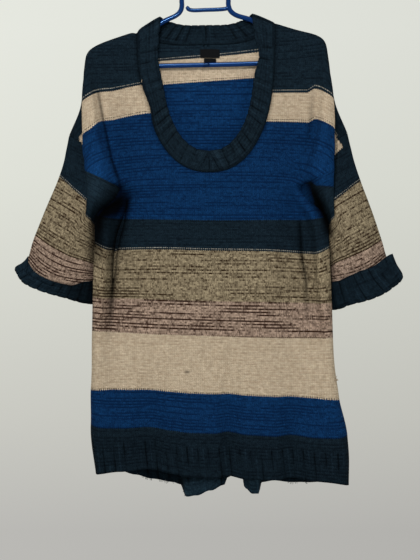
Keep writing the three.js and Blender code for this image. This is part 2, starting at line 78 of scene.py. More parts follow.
# How much lower the free edge sits, from the top fold (0) down the front to the underarm (1).
CUFF_SAG = {
    -1: [(0, 0), (0.09, 27), (0.23, 28), (0.36, 30), (0.54, 18), (0.71, 4.5), (1, 0)],
    1: [(0, 0), (0.1, -4), (0.26, -13), (0.44, -10.5), (0.61, -5), (0.8, -3), (1, 0)],
}
CUFF_SHORT = {-1: 0, 1: -5.5}  # how much further down each cuff's top is folded
HEM_TOP, HEM_LEVEL = -700, -957
HEM_FADE = 3  # the hem folds die away over this many columns before the side seam
FRONT_FOLD_DEPTH, FRONT_FOLD_DROP, BACK_FOLD_DEPTH = 13, 5, 16
HANGER_LEAN = 0.0205
TUBE_RADIUS, ACCESSORY_RADIUS = 4.5, 4
UNDERARM_ROW = 9
# The back panel is pushed back a little behind the label and the size tab.
TAB_HOLLOW = {"at": (11, -196), "size": (25, 16), "depth": 1.6}
# Above the first stripe: rows of the net, cloth down to the stripe, and cloth for each row there.
YOKE = {"rows": 3, "length": 94, "row": 26}
# The shoulder line: where it leaves the neck, its drop over a run, its slope towards the neck, and
# the height that level courses are counted down from.
SHOULDER = {"start": 126, "fall": (80, 237), "neck_rise": 0.47, "level": -158.5}
SLEEVE_TOP = (248.6, -336.6)
SEAM_BLEND = 30
SLEEVE_SWING = {-1: 0.035, 1: -0.035}
SLEEVE_SHADE = 0.91
UNDERARM_TUCK = np.array([-6, 0, -6])  # just below the underarm the sleeve is drawn in and down
BACK_CREASE = 0.6  # the creases behind are this much as deep as the front's
# Down to where a sleeve is navy and olive, and how much less navy there is on each top fold.
SLEEVE_NAVY, SLEEVE_OLIVE, SLEEVE_SLANT = 98, 195, {-1: 19, 1: 10}
# Places down the body's cloth: in the hem's navy, in a beige, and the bounds of navy and olive.
IN_NAVY, IN_BEIGE = 770.0, 600.0
NAVY_START, OLIVE_START, OLIVE_END = 337, 394, 484
SIDE = 7  # the column of the net at the side seam
# Places round a sleeve: a full turn, the underarm and the top fold. The front of it runs from 14 at
# the top fold to 21 at the underarm.
RING_SIZE, UNDERARM, TOP_FOLD = 14, 7, 14
BEIGE_TO, BLUE_FROM = 17, 16.6  # the part of the sleeve's front that can be beige, and blue
CUFF_TOP = {-1: 7, 1: -7}  # how much lower the free edge of each cuff sits at its top fold
CUFF_SHADE = {-1: 1, 1: 0.82}
CUFF_SHADOW, CUFF_SHADOW_X = {-1: 0.65, 1: 0.3}, 290  # towards the body from here, each cuff darkens
# painted shade: the cloth is this much darker at the hem, which gets less of the light from above
HEM_PAINTED_SHADE = 0.25
FOLD_LIGHTER = 3.0  # where the back hem folds forward into the light
PURL_LIGHTER = 0.2  # the purl side, which shows inside the back neck, catches more light

STITCH_WIDTH, COURSE_HEIGHT = 3.8, 2.8
HEM_RIB_TOP = 742  # mm of cloth from the shoulder line
HEM_RIB_PITCH, BAND_RIB_PITCH, CUFF_RIB_PITCH = 19.0, 19.5, 16.0
ROW_STEP, COLUMNS, RING_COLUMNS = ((4.4, 100, 150))

# Half of the front: [distance from the centre, y, z], a row for each course, eight columns out.
BODY_NET = np.array([
  [[0, 0, -112], [110, 0, -144], [200, 0, -174.5], [213, 0, -186],
    [219, 0, -212], [223, 0, -248], [229, 0, -287], [248.6, 0, -336.6]],
  [[0, -9, -124], [110, -8.8, -156], [200, -9, -186], [212, -9.5, -198],
    [218, -9.5, -219], [220, -8, -254], [226, -8, -292], [245, -6.5, -338.5]],
  [[0, -11, -184], [112, -10, -200], [199, -10, -216], [213, -18, -224],
    [222, -17, -242], [211, -8, -272], [224, -10, -309], [241, -9, -342]],
  [[0, -14, -252], [110, -13, -253], [197, -13, -256], [212, -28, -263],
    [225, -25, -275], [203, -12, -300], [223, -12, -329], [234, -10, -346]],
  [[0, -14, -303], [110, -14, -304], [189, -13, -307], [207, -38, -314],
    [225, -30, -327], [213, -21, -343], [203, -15, -357], [200, -13, -367]],
  [[0, -15, -333], [110, -15, -334], [184, -12, -338], [203, -41, -344],
    [222, -36, -355], [225, -29, -367], [219, -23, -377], [212, -19, -384]],
  [[0, -15, -362], [110, -15, -363], [177, -11, -368], [193, -37, -373],
    [206, -43, -379], [216, -40, -386], [222, -34, -393], [223, -29, -399]],
  [[0, -15, -381], [108, -15, -382], [171, -11, -388], [183, -30, -392],
    [192, -38, -396], [199, -42, -401], [204, -43, -405], [208, -42, -409]],
  [[0, -15, -403], [104, -15, -404], [162, -10, -410], [168, -18, -413],
    [173, -23, -415], [177, -27, -418], [181, -29, -420], [184, -30, -421]],
  [[0, -15, -425], [98, -15, -426], [139, -14, -428], [147, -13, -430],
    [152.5, -11.5, -431], [157, -9.5, -432], [161, -6, -433], [164, 0, -434]],
  [[0, -15.5, -454], [98, -15, -454], [152, -7, -456], [161, -11, -457],
    [170, -14, -457], [178, -11, -457], [180, -5, -457], [174, 0, -457]],
  [[0, -16, -491], [100, -16, -490], [167, -3, -489], [184, -26, -488],
    [199, -25, -486], [205, -17, -484], [196, -6, -483], [184, 3, -483]],
  [[0, -17, -546.5], [100, -17, -546], [177, -2, -549], [192, -28, -548],
    [205, -25, -541], [210, -16, -537], [201, -6, -535], [190, 3, -535]],
  [[0, -19, -637], [105, -19, -636], [184, -4, -636], [198, -27, -636],
    [209, -24, -635], [214, -15, -634], [208, -5, -634], [199, 4, -634]],
  [[0, -21, -697], [105, -21, -697], [192, -16, -695], [204, -25, -695],
    [211, -23, -694], [215.5, -14, -694], [214, -5, -694], [208, 4, -694]],
  [[0, -24, -803], [110, -23, -803], [190, -22, -803], [206, -23, -802],
    [214, -20, -802], [218.5, -13, -802], [219.5, -5, -802], [218, 3, -802]],
  [[0, -27, -872], [112, -26, -872], [195, -24, -873], [212, -24, -872],
    [221, -20, -870], [226, -12, -868], [228, -4, -868], [226, 4, -868]],
  [[0, -31, -953], [115, -28, -950], [195, -27, -953], [212, -25, -955],
    [220, -20, -956], [224.5, -12, -957], [226, -4, -957], [224, 4, -957]],
], float)
# Cloth from the shoulder line to each row of the net, from row 3 down.
ROW_LENGTHS = [94, 144, 175, 205, 225, 248, 270, 300, 337, 394, 484, 544, 644, 715, 790]
# Half of each sleeve ring, by its distance from the armhole: top fold to underarm.
SLEEVE_NET = [
  (15, [[252, 0, -351], [238, -9, -360], [201, -13, -382], [212, -19, -398],
    [222, -28, -413], [207, -41, -423], [188, -30, -433], [173, -1, -444]]),
  (45, [[259, 0, -381], [243, -11, -391], [204, -13, -415], [213, -18, -428],
    [221, -26, -440], [209, -37, -449], [200, -26, -458], [187.5, 1, -468.5]]),
  (85, [[271, 0, -418], [249, -13, -431], [214, -14, -456], [217, -17, -466],
    [222, -22, -475], [217, -25, -481], [215, -14, -488], [203, 2, -499]]),
  (130, [[288, 0, -462], [262, -14, -477], [236, -17, -494], [232, -20, -502],
    [225, -21, -508], [219, -18, -514], [212, -9, -520], [207, 3, -529]]),
  (195, [[311, 0, -523], [284, -15, -541], [260, -19, -553], [247, -20, -559],
    [235, -20, -563], [225, -17, -567], [219, -9, -570], [213, 4, -573]]),
  (238, [[323, 0, -556], [300, -16, -578], [275, -20, -592], [258, -21, -597],
    [241, -20, -600], [229, -17, -601], [221, -9, -601], [215, 4, -600]]),
  (284, [[346, 0, -590], [330, -17, -611], [302, -22, -624], [278, -23, -631],
    [254, -22, -637], [240, -19, -642], [228, -9, -645], [219, 4, -646]]),
]
# [z, drift to the right, slope of the courses]
HANG = [
  [0, 0, 0.0205], [-176, 3.6, 0.0205], [-329, 9, 0.01], [-545, 14.4, -0.0085],
  [-700, 15.5, -0.03], [-800, 17, -0.042], [-869, 25.2, -0.045], [-1000, 35, -0.045],
]
# [x, how far forward] and [x, how far back, how far down]
FRONT_FOLDS = [
  [-196, 0.5], [-150, 0], [-95, -1], [-55, 0.2], [-30, 0.8], [18, 0.7], [43, -0.5], [80, 0.7],
  [126, 0.8], [158, -0.4], [200, 0.4], [255, 0.4],
]
BACK_FOLDS = [
  [-196, 0, 0], [-155, 0.4, 1], [-125, 0.9, 9], [-95, 1, 16], [-55, 1, 20.5], [-42, 0.6, 23],
  [-31, -0.95, 43], [-14, -1, 39.5], [12, -0.9, 28.5], [36, -0.5, 17.5], [42, 0, 4], [55, 0.4, -2],
  [70, 0.2, 1], [75, -0.85, 22], [88, -0.95, 32], [98, -0.8, 32], [104, 0.3, 12], [128, 0.8, 9],
  [155, 0.9, 11], [185, 0.8, 9], [218, 0.3, 5], [255, 0, 0],
]
FRAME_BAR = [
  [-6, -81], [30, -81], [39, -84], [42, -93], [42, -104], [45, -115], [54, -125], [82, -139.5],
  [110, -153], [155, -168.5], [190, -181], [201, -185.5], [206, -192], [206, -200],
  [202, -207.5], [193, -211], [150, -211], [-6, -211],
]
HOOK_BAR = [
  [-23.5, -27], [-24.5, -20], [-17.3, -2.7], [0, 4.5], [17.3, -2.7], [24.5, -20], [19.5, -35],
  [7, -46], [0, -57], [0, -70], [0, -81],
]
ACCESSORY_BAR = [[43, -110], [34, -111.5], [0, -112.5], [-25, -112.5], [-31, -110], [-32, -104]]


# Creases of both faces, painted darker as shade and drawn in: (width, depth, [(x, z, how deep), ...]).
CREASES = [
    # left: beside the sleeve seam, the hollow under the arm, and the valley down the body
    (3.2, 2.5, [(-191, -261, 0.6), (-182, -310, 0.7), (-167, -382, 0.75), (-148, -436, 0.6)]),
    (17, 5, [
        (-146, -447, 0.9), (-160, -462, 1), (-176, -472, 1), (-188, -488, 1), (-192, -530, 0.85),
        (-193, -560, 0.5),
    ]),
    (6.5, 6, [
        (-138, -455, 0.95), (-139, -465, 1), (-145, -490, 1), (-155, -520, 1), (-161, -549, 1),
        (-164, -600, 1), (-168, -650, 0.75), (-173, -716, 0),
    ]),
    # left: two wider ones beside the top of the valley
    (12, 3, [(-153, -460, 0.9), (-160, -474, 0.9), (-173, -480, 0.95)]),
    (9.5, 3, [
        (-149, -492, 0.7), (-155, -515, 0.85), (-160, -545, 0.85), (-163, -570, 0.5), (-165, -600, 0),
    ]),
    # right: beside the sleeve seam, the hollow under the arm, and the valley down the body
    (5, 3, [(196, -261, 0.25), (193, -308, 0.4), (189, -338, 0.3), (185, -365, 0)]),
    (11, 5, [(191, -428, 0.85), (208, -462, 1), (219, -490, 1), (226, -512, 0.9)]),
    (4.5, 5, [(173, -497, 0.6), (176, -553, 0.8), (184, -598, 0.75), (185, -626, 0.5), (185, -680, 0)]),
    # the snag, low on the front
    (2.4, 1, [(-32, -765, 0.7), (-28, -765, 0.7)]),
]
# Where the hanging is uneven: (x, z), (width, height) and the pull to the right and up.
NUDGES = [
    ((-121, -157), (6, 12), (0, -5)),  # the notch at the left shoulder seam
    ((215, -178), (60, 46), (0.5, 12)),  # the right shoulder rides higher
    ((125, -150), (45, 45), (1, 7.5)),
    ((80, -132), (28, 28), (1, 4.5)),
    ((0, -142), (60, 25), (0, 3)),  # the back of the neck and the hanger's arms
    ((-72, -135), (30, 28), (1, 5.5)),
    ((-103, -285), (14, 36), (6, 0)),  # the neckband's edges
    ((-77, -245), (14, 45), (3, 0)),
    ((92, -196), (14, 24), (8, 0)),
    ((-241, -330), (30, 70), (-2.5, 0)),  # the sleeves' outer edges
    ((284, -506), (40, 70), (2, 1)),
    ((248, -815), (28, 50), (7, 0)),  # the right side seam swells at the hem
    ((248, -915), (28, 48), (5.5, 0)),
    ((-331, -567), (25, 22), (7, -3)),  # the cuffs' outer corners
    ((352, -597), (18, 16), (6, -4)),
]
# Where the front is turned to the light, or away from it: (x, z), (width, height), more light.
GLOW = [
    ((-185, -390), (32, 65), 0.3),  # the sleeves' fronts
    ((212, -400), (22, 60), 0.25),
    ((-197, -437), (18, 38), 0.8),
    ((229, -464), (12, 35), 0.6),
    ((209, -284), (15, 25), 0.1),
    ((-150, -420), (18, 150), -0.12),  # the body beside the creases
    ((137, -540), (18, 300), -0.06),
    ((-175, -752), (14, 45), -0.08),
    ((-187, -590), (14, 60), 0.12),  # the body's side folds
    ((216, -600), (18, 60), 0.12),
]
# Where the stripes of the body carry on past the armhole seam, as corners in x and z: the beige on
# each side, and the blue on the right sleeve in two parts.
BEIGE_CORNERS = {
    1: [(229, -331), (251, -359), (235, -374), (227, -366)],
    -1: [(-215, -330), (-225, -342), (-216, -360), (-212, -350)],
}
BLUE_CORNERS = [
    [(150, -360), (245, -360), (243, -468), (227, -453), (209, -438), (189, -428), (150, -425)],
    [(150, -420), (191, -426), (203, -474), (150, -474)],
]


# ------------------------------------------------------------------ curves
def smooth(t):
    t = np.clip(t, 0, 1)
    return t * t * (3 - 2 * t)


def span(a, b, c, d, f):
    """Centripetal Catmull-Rom between b and c, with neighbours a and d."""

    def knot(p, q):
        return np.sqrt(np.maximum(np.linalg.norm(p - q, axis=-1), 1e-3))[..., None]

    def blend(p, q, low, high):
        return p + (q - p) * (t - low) / (high - low)

    t1 = knot(a, b)
    t2 = t1 + knot(b, c)
    t3 = t2 + knot(c, d)
    t = t1 + (t2 - t1) * np.asarray(f)[..., None]
    ab, bc, cd = blend(a, b, 0, t1), blend(b, c, t1, t2), blend(c, d, t2, t3)
    return blend(blend(ab, bc, 0, t2), blend(bc, cd, t1, t3), t1, t2)


def along(points, at, before=None, after=None):
    """Points of the open curve through points (n, ..., 3), at places (m,): (m, ..., 3)."""
    before = 2 * points[0] - points[1] if before is None else before
    after = 2 * points[-1] - points[-2] if after is None else after
    padded = np.concatenate([before[None], points, after[None]])
    at = np.asarray(at, float)
    i = np.clip(np.floor(at).astype(int), 0, len(points) - 2)
    f = (at - i).reshape((-1,) + (1,) * (points.ndim - 2))
    f = np.broadcast_to(f, (len(at),) + points.shape[1:-1])
    return span(padded[i], padded[i + 1], padded[i + 2], padded[i + 3], f)


def across(lines, at, before, after):
    """lines (n, m, 3) are curves' points for each of m rows, at (m, k) the places: (m, k, 3)."""
    padded = np.concatenate([before[None], lines, after[None]])
    i = np.clip(np.floor(at).astype(int), 0, len(lines) - 2)
    row = np.arange(lines.shape[1])[:, None]
    return span(*(padded[i + k, row] for k in range(4)), at - i)


def look_up(table, x):
    """The columns of [x, ...values], smooth between its entries."""
    t = np.array(sorted(table), float)
    x = np.clip(x, t[0, 0], t[-1, 0])
    i = np.clip(np.searchsorted(t[:, 0], x, side="right") - 1, 0, len(t) - 2)
    f = smooth((x - t[i, 0]) / (t[i + 1, 0] - t[i, 0]))
    return [t[i, k] + (t[i + 1, k] - t[i, k]) * f for k in range(1, t.shape[1])]


def evenly(dense, length, count):
    """Places spaced evenly along each row of a dense sampling, and how far along each one is."""
    want = np.linspace(0, 1, count + 1)[None, :] * length[:, -1:]
    return np.stack([np.interp(w, s, d) for w, s, d in zip(want, length, dense)]), want


def resampled(line, length, at):
    """A line (n, 3), whose points lie at the given lengths, sampled at other lengths."""
    return np.stack([np.interp(at, length, line[:, i]) for i in range(3)], axis=-1)


def nearness(x, z, at, size):
    """1 at a place, falling to 0 over a width and a height."""
    return np.exp(-(((x - at[0]) / size[0]) ** 2) - ((z - at[1]) / size[1]) ** 2)


def solve(f, low, high, shape):
    """Where a rising f crosses zero, for each entry of an array."""
    low, high = np.full(shape, float(low)), np.full(shape, float(high))
    for _ in range(36):
        middle = (low + high) / 2
        over = f(middle) > 0
        high = np.where(over, middle, high)
        low = np.where(over, low, middle)
    return (low + high) / 2


def arc(points):
    """Length along axis 1 of (m, k, 3), from 0."""
    steps = np.linalg.norm(np.diff(points, axis=1), axis=-1)
    return np.concatenate([np.zeros((len(points), 1)), np.cumsum(steps, axis=1)], axis=1)


# ------------------------------------------------------------------ body surface
def mirror_back(points, plane):
    out = np.array(points, float)
    out[..., 1] = plane - (out[..., 1] - plane) * BACK_DEPTH
    return out


rows_index = np.arange(len(BODY_NET))
fold_plane = np.where(rows_index >= UNDERARM_ROW, BODY_NET[:, 7, 1], 0)[:, None]
NET = {"front": BODY_NET, "back": mirror_back(BODY_NET, fold_plane)}
NET["back"][0] = BODY_NET[0]
OTHER = {"front": "back", "back": "front"}


def net_column(face, column, row):
    return along(NET[face][:, column], row, before=NET[OTHER[face]][1, column])


def body_point(face, column, row):
    """column (m, k), row (m,): points (m, k, 3) of the half body before it hangs."""
    lines = np.stack([net_column(face, c, row) for c in range(8)])
    beyond = along(NET[OTHER[face]][:, 6], row)
    after = np.where((row >= UNDERARM_ROW)[:, None], beyond, 2 * lines[7] - lines[6])
    return across(lines, column, lines[1] * [-1, 1, 1], after)


def neck_width(curve, z):
    t = np.clip((curve["top"] - z) / curve["depth"], 0, 1)
    return curve["half"] * (1 - t ** NECK_POWERS[1]) ** (1 / NECK_POWERS[0])


def on_shoulder_line(column):
    """The front's point on the shoulder line at a column (1,): (1, 3)."""
    return body_point("front", column[:, None], np.zeros(1))[:, 0]


SHOULDER_POINT = solve(lambda column: on_shoulder_line(column)[:, 0] - NECK["half"], 0, 2, 1)
SHOULDER_HEIGHT = on_shoulder_line(SHOULDER_POINT)[0, 2]


def past_neckline(face, p):
    if face == "front":
        return p[..., 0] - neck_width(NECK, p[..., 2])
    rise = (SHOULDER_HEIGHT - BACK_NECK_DROP) * (np.abs(p[..., 0]) / NECK["half"]) ** 4
    return BACK_NECK_DROP + rise - p[..., 2]


def neck_bottom_row(face):
    if face == "front":
        level = NECK["top"] - NECK["depth"]
        return solve(lambda r: level - body_point(face, np.zeros((1, 1)), r)[:, 0, 2], 4, 10, 1)[0]
    return solve(lambda r: past_neckline(face, body_point(face, np.zeros((1, 1)), r))[:, 0], 0, 3, 1)[0]


NECK_BOTTOM = {face: neck_bottom_row(face) for face in OTHER}


def first_column(face, rows):
    """Where each row meets the neck seam, or the centre line below the neck."""

    def past(column):
        return past_neckline(face, body_point(face, column[:, None], rows))[:, 0]

    found = solve(past, 0, 1.9, len(rows))
    found = np.where(rows <= 1e-9, SHOULDER_POINT, found)
    return np.where(rows >= NECK_BOTTOM[face] - 1e-9, 0, found)


def fine_rows(face):
    """Places down the net a few mm apart, with more where the neckline turns to the centre."""
    net = NET[face]
    places = []
    for i in range(len(net) - 1):
        longest = np.linalg.norm(net[i + 1] - net[i], axis=-1).max()
        count = max(2, int(math.ceil(longest / ROW_STEP)))
        places.extend(i + np.arange(count) / count)
    places.append(len(net) - 1)
    bottom = NECK_BOTTOM[face]
    dense = bottom * (1 - (1 - np.linspace(0, 1, 1500)) ** 2)
    widths = body_point(face, first_column(face, dense)[:, None], dense)[:, 0, 0]
    targets = np.arange(5, NECK["half"] - 4, 5)
    near = np.interp(targets, widths[::-1], dense[::-1])
    places = np.unique(np.concatenate([places, near, [bottom]]))
    keep = [0]
    for i in range(1, len(places)):
        gap = places[i] - places[keep[-1]]
        if gap > 0.004 or places[i] == bottom:
            keep.append(i)
    return places[keep]


def hang(points, face=None, edge=1.0):
    """Points (..., 3) with x signed: drift, slope and the folds of the hem."""
    x, y, z = points[..., 0], points[..., 1], points[..., 2]
    drift, slope = look_up(HANG, z)
    px = x + drift
    depth = smooth((HEM_TOP - z) / (HEM_TOP - HEM_LEVEL)) * edge
    z = z + slope * x
    if face == "front":
        (forward,) = look_up(FRONT_FOLDS, px)
        y = y - FRONT_FOLD_DEPTH * forward * depth
        z = z - FRONT_FOLD_DROP * forward * depth
    if face == "back":
        backward, drop = look_up(BACK_FOLDS, px)
        y = y + BACK_FOLD_DEPTH * backward * depth
        z = z - drop * depth
    px, z = nudged(px, z)
    return np.stack([px, y, z], axis=-1)


def nudged(x, z):
    """x and z, pulled a little out of shape where this sweater hangs unevenly."""
    right, up = 0, 0
    for at, size, (go_right, go_up) in NUDGES:
        near = nearness(x, z, at, size)
        right = right + go_right * near
        up = up + go_up * near
    return x + right, z + up


def glow(p):
    """How much more or less light each place of the front takes."""
    total = 1.0
    for at, size, more in GLOW:
        total = total + more * nearness(p[..., 0], p[..., 2], at, size)
    return total


def creased(p):
    """How deep in a crease each point (..., 3) lies, from 0 to 1, painted as shade, and how far it is
    drawn in.
    """
    deepest, drawn = np.zeros(p.shape[:-1]), np.zeros(p.shape[:-1])
    at = p[..., [0, 2]]
    for width, depth, line in CREASES:
        line = np.array(line, float)
        value = np.zeros(p.shape[:-1])
        for a, b in zip(line[:-1], line[1:]):
            way = b[:2] - a[:2]
            t = np.clip(((at - a[:2]) @ way) / (way @ way), 0, 1)
            away = np.linalg.norm(at - a[:2] - t[..., None] * way, axis=-1)
            value = np.maximum(value, (a[2] + (b[2] - a[2]) * t) * np.exp(-((away / width) ** 2)))
        deepest = 1 - (1 - deepest) * (1 - value)
        drawn = np.maximum(drawn, depth * value)
    return deepest, drawn


def inside_corners(p, corners):
    """Signed distance in mm into a convex shape in x and z, positive inside."""
    corners = np.array(corners, float)
    centre = corners.mean(axis=0)
    found = np.full(p.shape[:-1], 50.0)
    for a, b in zip(corners, np.roll(corners, -1, axis=0)):
        normal = np.array([a[1] - b[1], b[0] - a[0]]) / np.hypot(*(b - a))
        if (centre - a) @ normal < 0:
            normal = -normal
        found = np.minimum(found, (p[..., [0, 2]] - a) @ normal)
    return np.maximum(found, -50)


# ------------------------------------------------------------------ meshes
class Cloth:
    """A surface of welded grids, made into a closed wall.

    Each grid carries, for every point, its flat place in mm (flat), its ribs (turns, strength)
    and the data that layers makes: the stripes' place in mm, the shade (1 is open to the light),
    how many mm it lies inside a beige and a blue part, and the shade of the inner face.
    """

    def __init__(self, name):
        self.name = name
        self.points, self.data = [], []
        self.quads, self.uvs, self.ribs = [], [], []
        self.hairs = []
        self.count = 0

    def grid(self, points, flat, ribs, data, flip, ids=None):
        """points (m, k, 3), flat and ribs (m, k, 2), and data (m, k, 5) as made by layers.

        ids (m, k) holds the numbers of points that exist already, or -1."""
        ids = np.full(points.shape[:2], -1) if ids is None else ids.copy()
        new = ids < 0
        ids[new] = self.count + np.arange(new.sum())
        self.count += int(new.sum())
        self.points.append(points[new])
        self.data.append(data[new])
        self.join(ids, flat, ribs, flip)
        return ids

    def ring(self, points, flat, ribs, data, flip):
        """A grid whose last column is its first."""
        m, k = points.shape[:2]
        ids = self.count + np.arange(m * (k - 1)).reshape(m, k - 1)
        self.count += m * (k - 1)
        self.points.append(points[:, :-1].reshape(-1, 3))
        self.data.append(data[:, :-1].reshape(-1, 5))
        self.join(np.concatenate([ids, ids[:, :1]], axis=1), flat, ribs, flip)

    def join(self, ids, flat, ribs, flip):
        low, high = slice(None, -1), slice(1, None)
        corners = [(low, low), (low, high), (high, high), (high, low)]
        if flip:
            corners = corners[::-1]
        self.quads.append(np.stack([ids[c] for c in corners], axis=-1).reshape(-1, 4))
        self.uvs.append(np.stack([flat[c] for c in corners], axis=-2).reshape(-1, 4, 2))
        self.ribs.append(np.stack([ribs[c] for c in corners], axis=-2).reshape(-1, 4, 2))

    def gather(self):
        self.p = np.concatenate(self.points)
        self.q = np.concatenate(self.quads)
        corners = [self.p[self.q[:, i]] for i in range(4)]
        face = np.cross(corners[2] - corners[0], corners[3] - corners[1])
        self.n = np.zeros_like(self.p)
        for i in range(4):
            np.add.at(self.n, self.q[:, i], face)
        self.n /= np.maximum(np.linalg.norm(self.n, axis=1, keepdims=True), 1e-9)

    def by_point(self, loops):
        """Values of (quads, 4, 2) as one value a point."""
        found = np.zeros((self.count, 2))
        found[self.q.reshape(-1)] = loops.reshape(-1, 2)
        return found

    def emboss(self, height):
        """Moves each point out along its normal by height(ribs), which gets (points, 2)."""
        self.gather()
        ribs = self.by_point(np.concatenate(self.ribs))
        self.points = [self.p + self.n * height(ribs)[:, None]]

    def rim(self):
        """Free edges, each with the surface on its left: (n, 2)."""
        edges = np.concatenate([self.q[:, [i, (i + 1) % 4]] for i in range(4)])
        edges = edges[edges[:, 0] != edges[:, 1]]
        key = edges[:, 0] * self.count + edges[:, 1]
        back = edges[:, 1] * self.count + edges[:, 0]
        return edges[~np.isin(key, back)]

    def build(self):
        self.gather()
        rim = self.rim()
        way = self.p[rim[:, 1]] - self.p[rim[:, 0]]
        pull = np.zeros_like(self.p)
        for side in (0, 1):
            np.add.at(pull, rim[:, side], np.cross(self.n[rim[:, side]], way))
        size = np.linalg.norm(pull, axis=1, keepdims=True)
        middle = self.p + SEAM_PULL * pull / np.maximum(size, 1e-9) * (size > 1e-9)
        outer = middle + self.n * WALL / 2
        inner = middle - self.n * WALL / 2
        n = self.count
        walls = np.stack([rim[:, 1], rim[:, 0], rim[:, 0] + n, rim[:, 1] + n], axis=-1)
        quads = np.concatenate([self.q, self.q[:, ::-1] + n, walls])
        maps = {}
        for label, loops in (("flat", self.uvs), ("ribs", self.ribs)):
            loops = np.concatenate(loops)
            maps[label] = np.concatenate([loops, loops[:, ::-1], self.by_point(loops)[walls % n]])
        maps["flat"] = maps["flat"] * MM
        points = [outer, inner]
        data = np.concatenate(self.data)
        inside = data.copy()
        inside[:, 1] = data[:, 4]
        data = np.concatenate([data, inside])
        for line, radius, stripe in self.hairs:
            ring, sides = yarn(line, radius)
            quads = np.concatenate([quads, sides + sum(len(p) for p in points)])
            points.append(ring)
            data = np.concatenate([data, layers(np.full(len(ring), float(stripe)), 1.0)])
            maps = {k: np.concatenate([v, np.zeros((len(sides), 4, 2))]) for k, v in maps.items()}
        return make_mesh(self.name + "_knit", np.concatenate(points), quads, maps, data)


def placed(name, data):
    """A new object in the scene."""
    obj = bpy.data.objects.new(name, data)
    bpy.context.scene.collection.objects.link(obj)
    return obj


def make_mesh(name, points, quads, maps, data):
    """A quad mesh, where a quad with two equal corners becomes a triangle."""
    doubled = quads == np.roll(quads, -1, axis=1)
    whole = ~doubled.any(axis=1)
    three = doubled.sum(axis=1) == 1
    keep = ~doubled[three]
    loops = np.concatenate([quads[whole].reshape(-1), quads[three][keep]])
    totals = np.concatenate([np.full(whole.sum(), 4), np.full(three.sum(), 3)])
    mesh = bpy.data.meshes.new(name)
    mesh.vertices.add(len(points))
    mesh.vertices.foreach_set("co", (points * MM).astype(np.float32).reshape(-1))
    mesh.loops.add(len(loops))
    mesh.loops.foreach_set("vertex_index", loops.astype(np.int32))
    mesh.polygons.add(len(totals))
    mesh.polygons.foreach_set("loop_start", (np.cumsum(totals) - totals).astype(np.int32))
    mesh.polygons.foreach_set("use_smooth", np.ones(len(totals), bool))
    mesh.update(calc_edges=True)
    for label, uv in maps.items():
        coords = np.concatenate([uv[whole].reshape(-1, 2), uv[three][keep]])
        layer = mesh.uv_layers.new(name=label)
        layer.data.foreach_set("uv", coords.astype(np.float32).reshape(-1))
    for label, column in (("stripe", 0), ("shade", 1), ("beige_part", 2), ("blue_part", 3)):
        attribute = mesh.attributes.new(label, "FLOAT", "POINT")
        attribute.data.foreach_set("value", data[:, column].astype(np.float32))
    mesh.validate()
    return placed(name, mesh)


def between_rings(count, sides):
    """The numbers of the points of some rings, and the quads from each ring to the next."""
    ids = np.arange(count * sides).reshape(count, sides)
    following = np.roll(ids, -1, axis=1)
    quads = np.stack([ids[:-1], ids[1:], following[1:], following[:-1]], axis=-1)
    return ids, quads.reshape(-1, 4)


def yarn(line, radius, sides=5):
    """A loose end of yarn along points (n, 3), thinner at its open ends: vertices and quads."""
    line = np.array(line, float)
    n = len(line)
    way = np.gradient(line, axis=0)
    first = np.cross(way, [0.3, 1, 0.2])
    first /= np.linalg.norm(first, axis=1, keepdims=True)
    second = np.cross(way / np.linalg.norm(way, axis=1, keepdims=True), first)
    angle = np.arange(sides) * 2 * np.pi / sides
    size = radius * np.sin(np.linspace(0.25, np.pi - 0.15, n)) ** 0.5
    cos, sin = (f(angle)[None, :, None] for f in (np.cos, np.sin))
    ring = line[:, None] + size[:, None, None] * (cos * first[:, None] + sin * second[:, None])
    return ring.reshape(-1, 3), between_rings(n, sides)[1]


def layers(stripe, shade, beige=-50.0, blue=-50.0, inside=None):
    """The data of a grid from its stripe, shade and overlays, and the shade of its inner face."""
    inside = shade if inside is None else inside
    return np.stack(np.broadcast_arrays(stripe, shade, beige, blue, inside), axis=-1).astype(float)


def pair(a, b):
    return np.stack(np.broadcast_arrays(a, b), axis=-1).astype(float)


def rib_relief(phase):
    """The height of ribbing, from 0 to 1: wide flats with narrow grooves between."""
    t = np.abs((phase % 1) - 0.5) * 2
    return smooth((1 - t) / 0.35)


def ripple(p, size, seed):
    """A slow, smooth unevenness, from about -1 to 1."""
    rng = np.random.default_rng(seed)
    total = np.zeros(p.shape[:-1])
    for _ in range(7):
        way = rng.normal(size=2)
        way /= np.hypot(*way) * size * rng.uniform(0.6, 1.6)
        waves = p[..., 0] * way[0] + p[..., 2] * way[1] * 0.6
        total = total + np.sin(2 * np.pi * waves + rng.uniform(0, 7))
    return total / 3.5


# ------------------------------------------------------------------ front and back panels
def row_length(row):
    """mm of cloth from the shoulder line down to a row, for rows past 3."""
    return np.interp(row, np.arange(3, 18), ROW_LENGTHS)


def flat_length(row, column, p, a):
    """mm of cloth from the shoulder line down to each point."""
    out = a - SHOULDER["start"]
    drop, run = SHOULDER["fall"]
    shoulder = np.where(out > 0, out * drop / run, out * SHOULDER["neck_rise"])
    fan = np.interp(row, [0, 1, 2, 3], [0, 0.12, 0.5, 1])[:, None]
    by_net = shoulder + (YOKE["length"] - shoulder) * fan
    level = SHOULDER["level"] - p[..., 2]
    above = level + (by_net - level) * smooth((column - 2) / 2)
    return np.where(row[:, None] >= YOKE["rows"], row_length(row)[:, None], above)


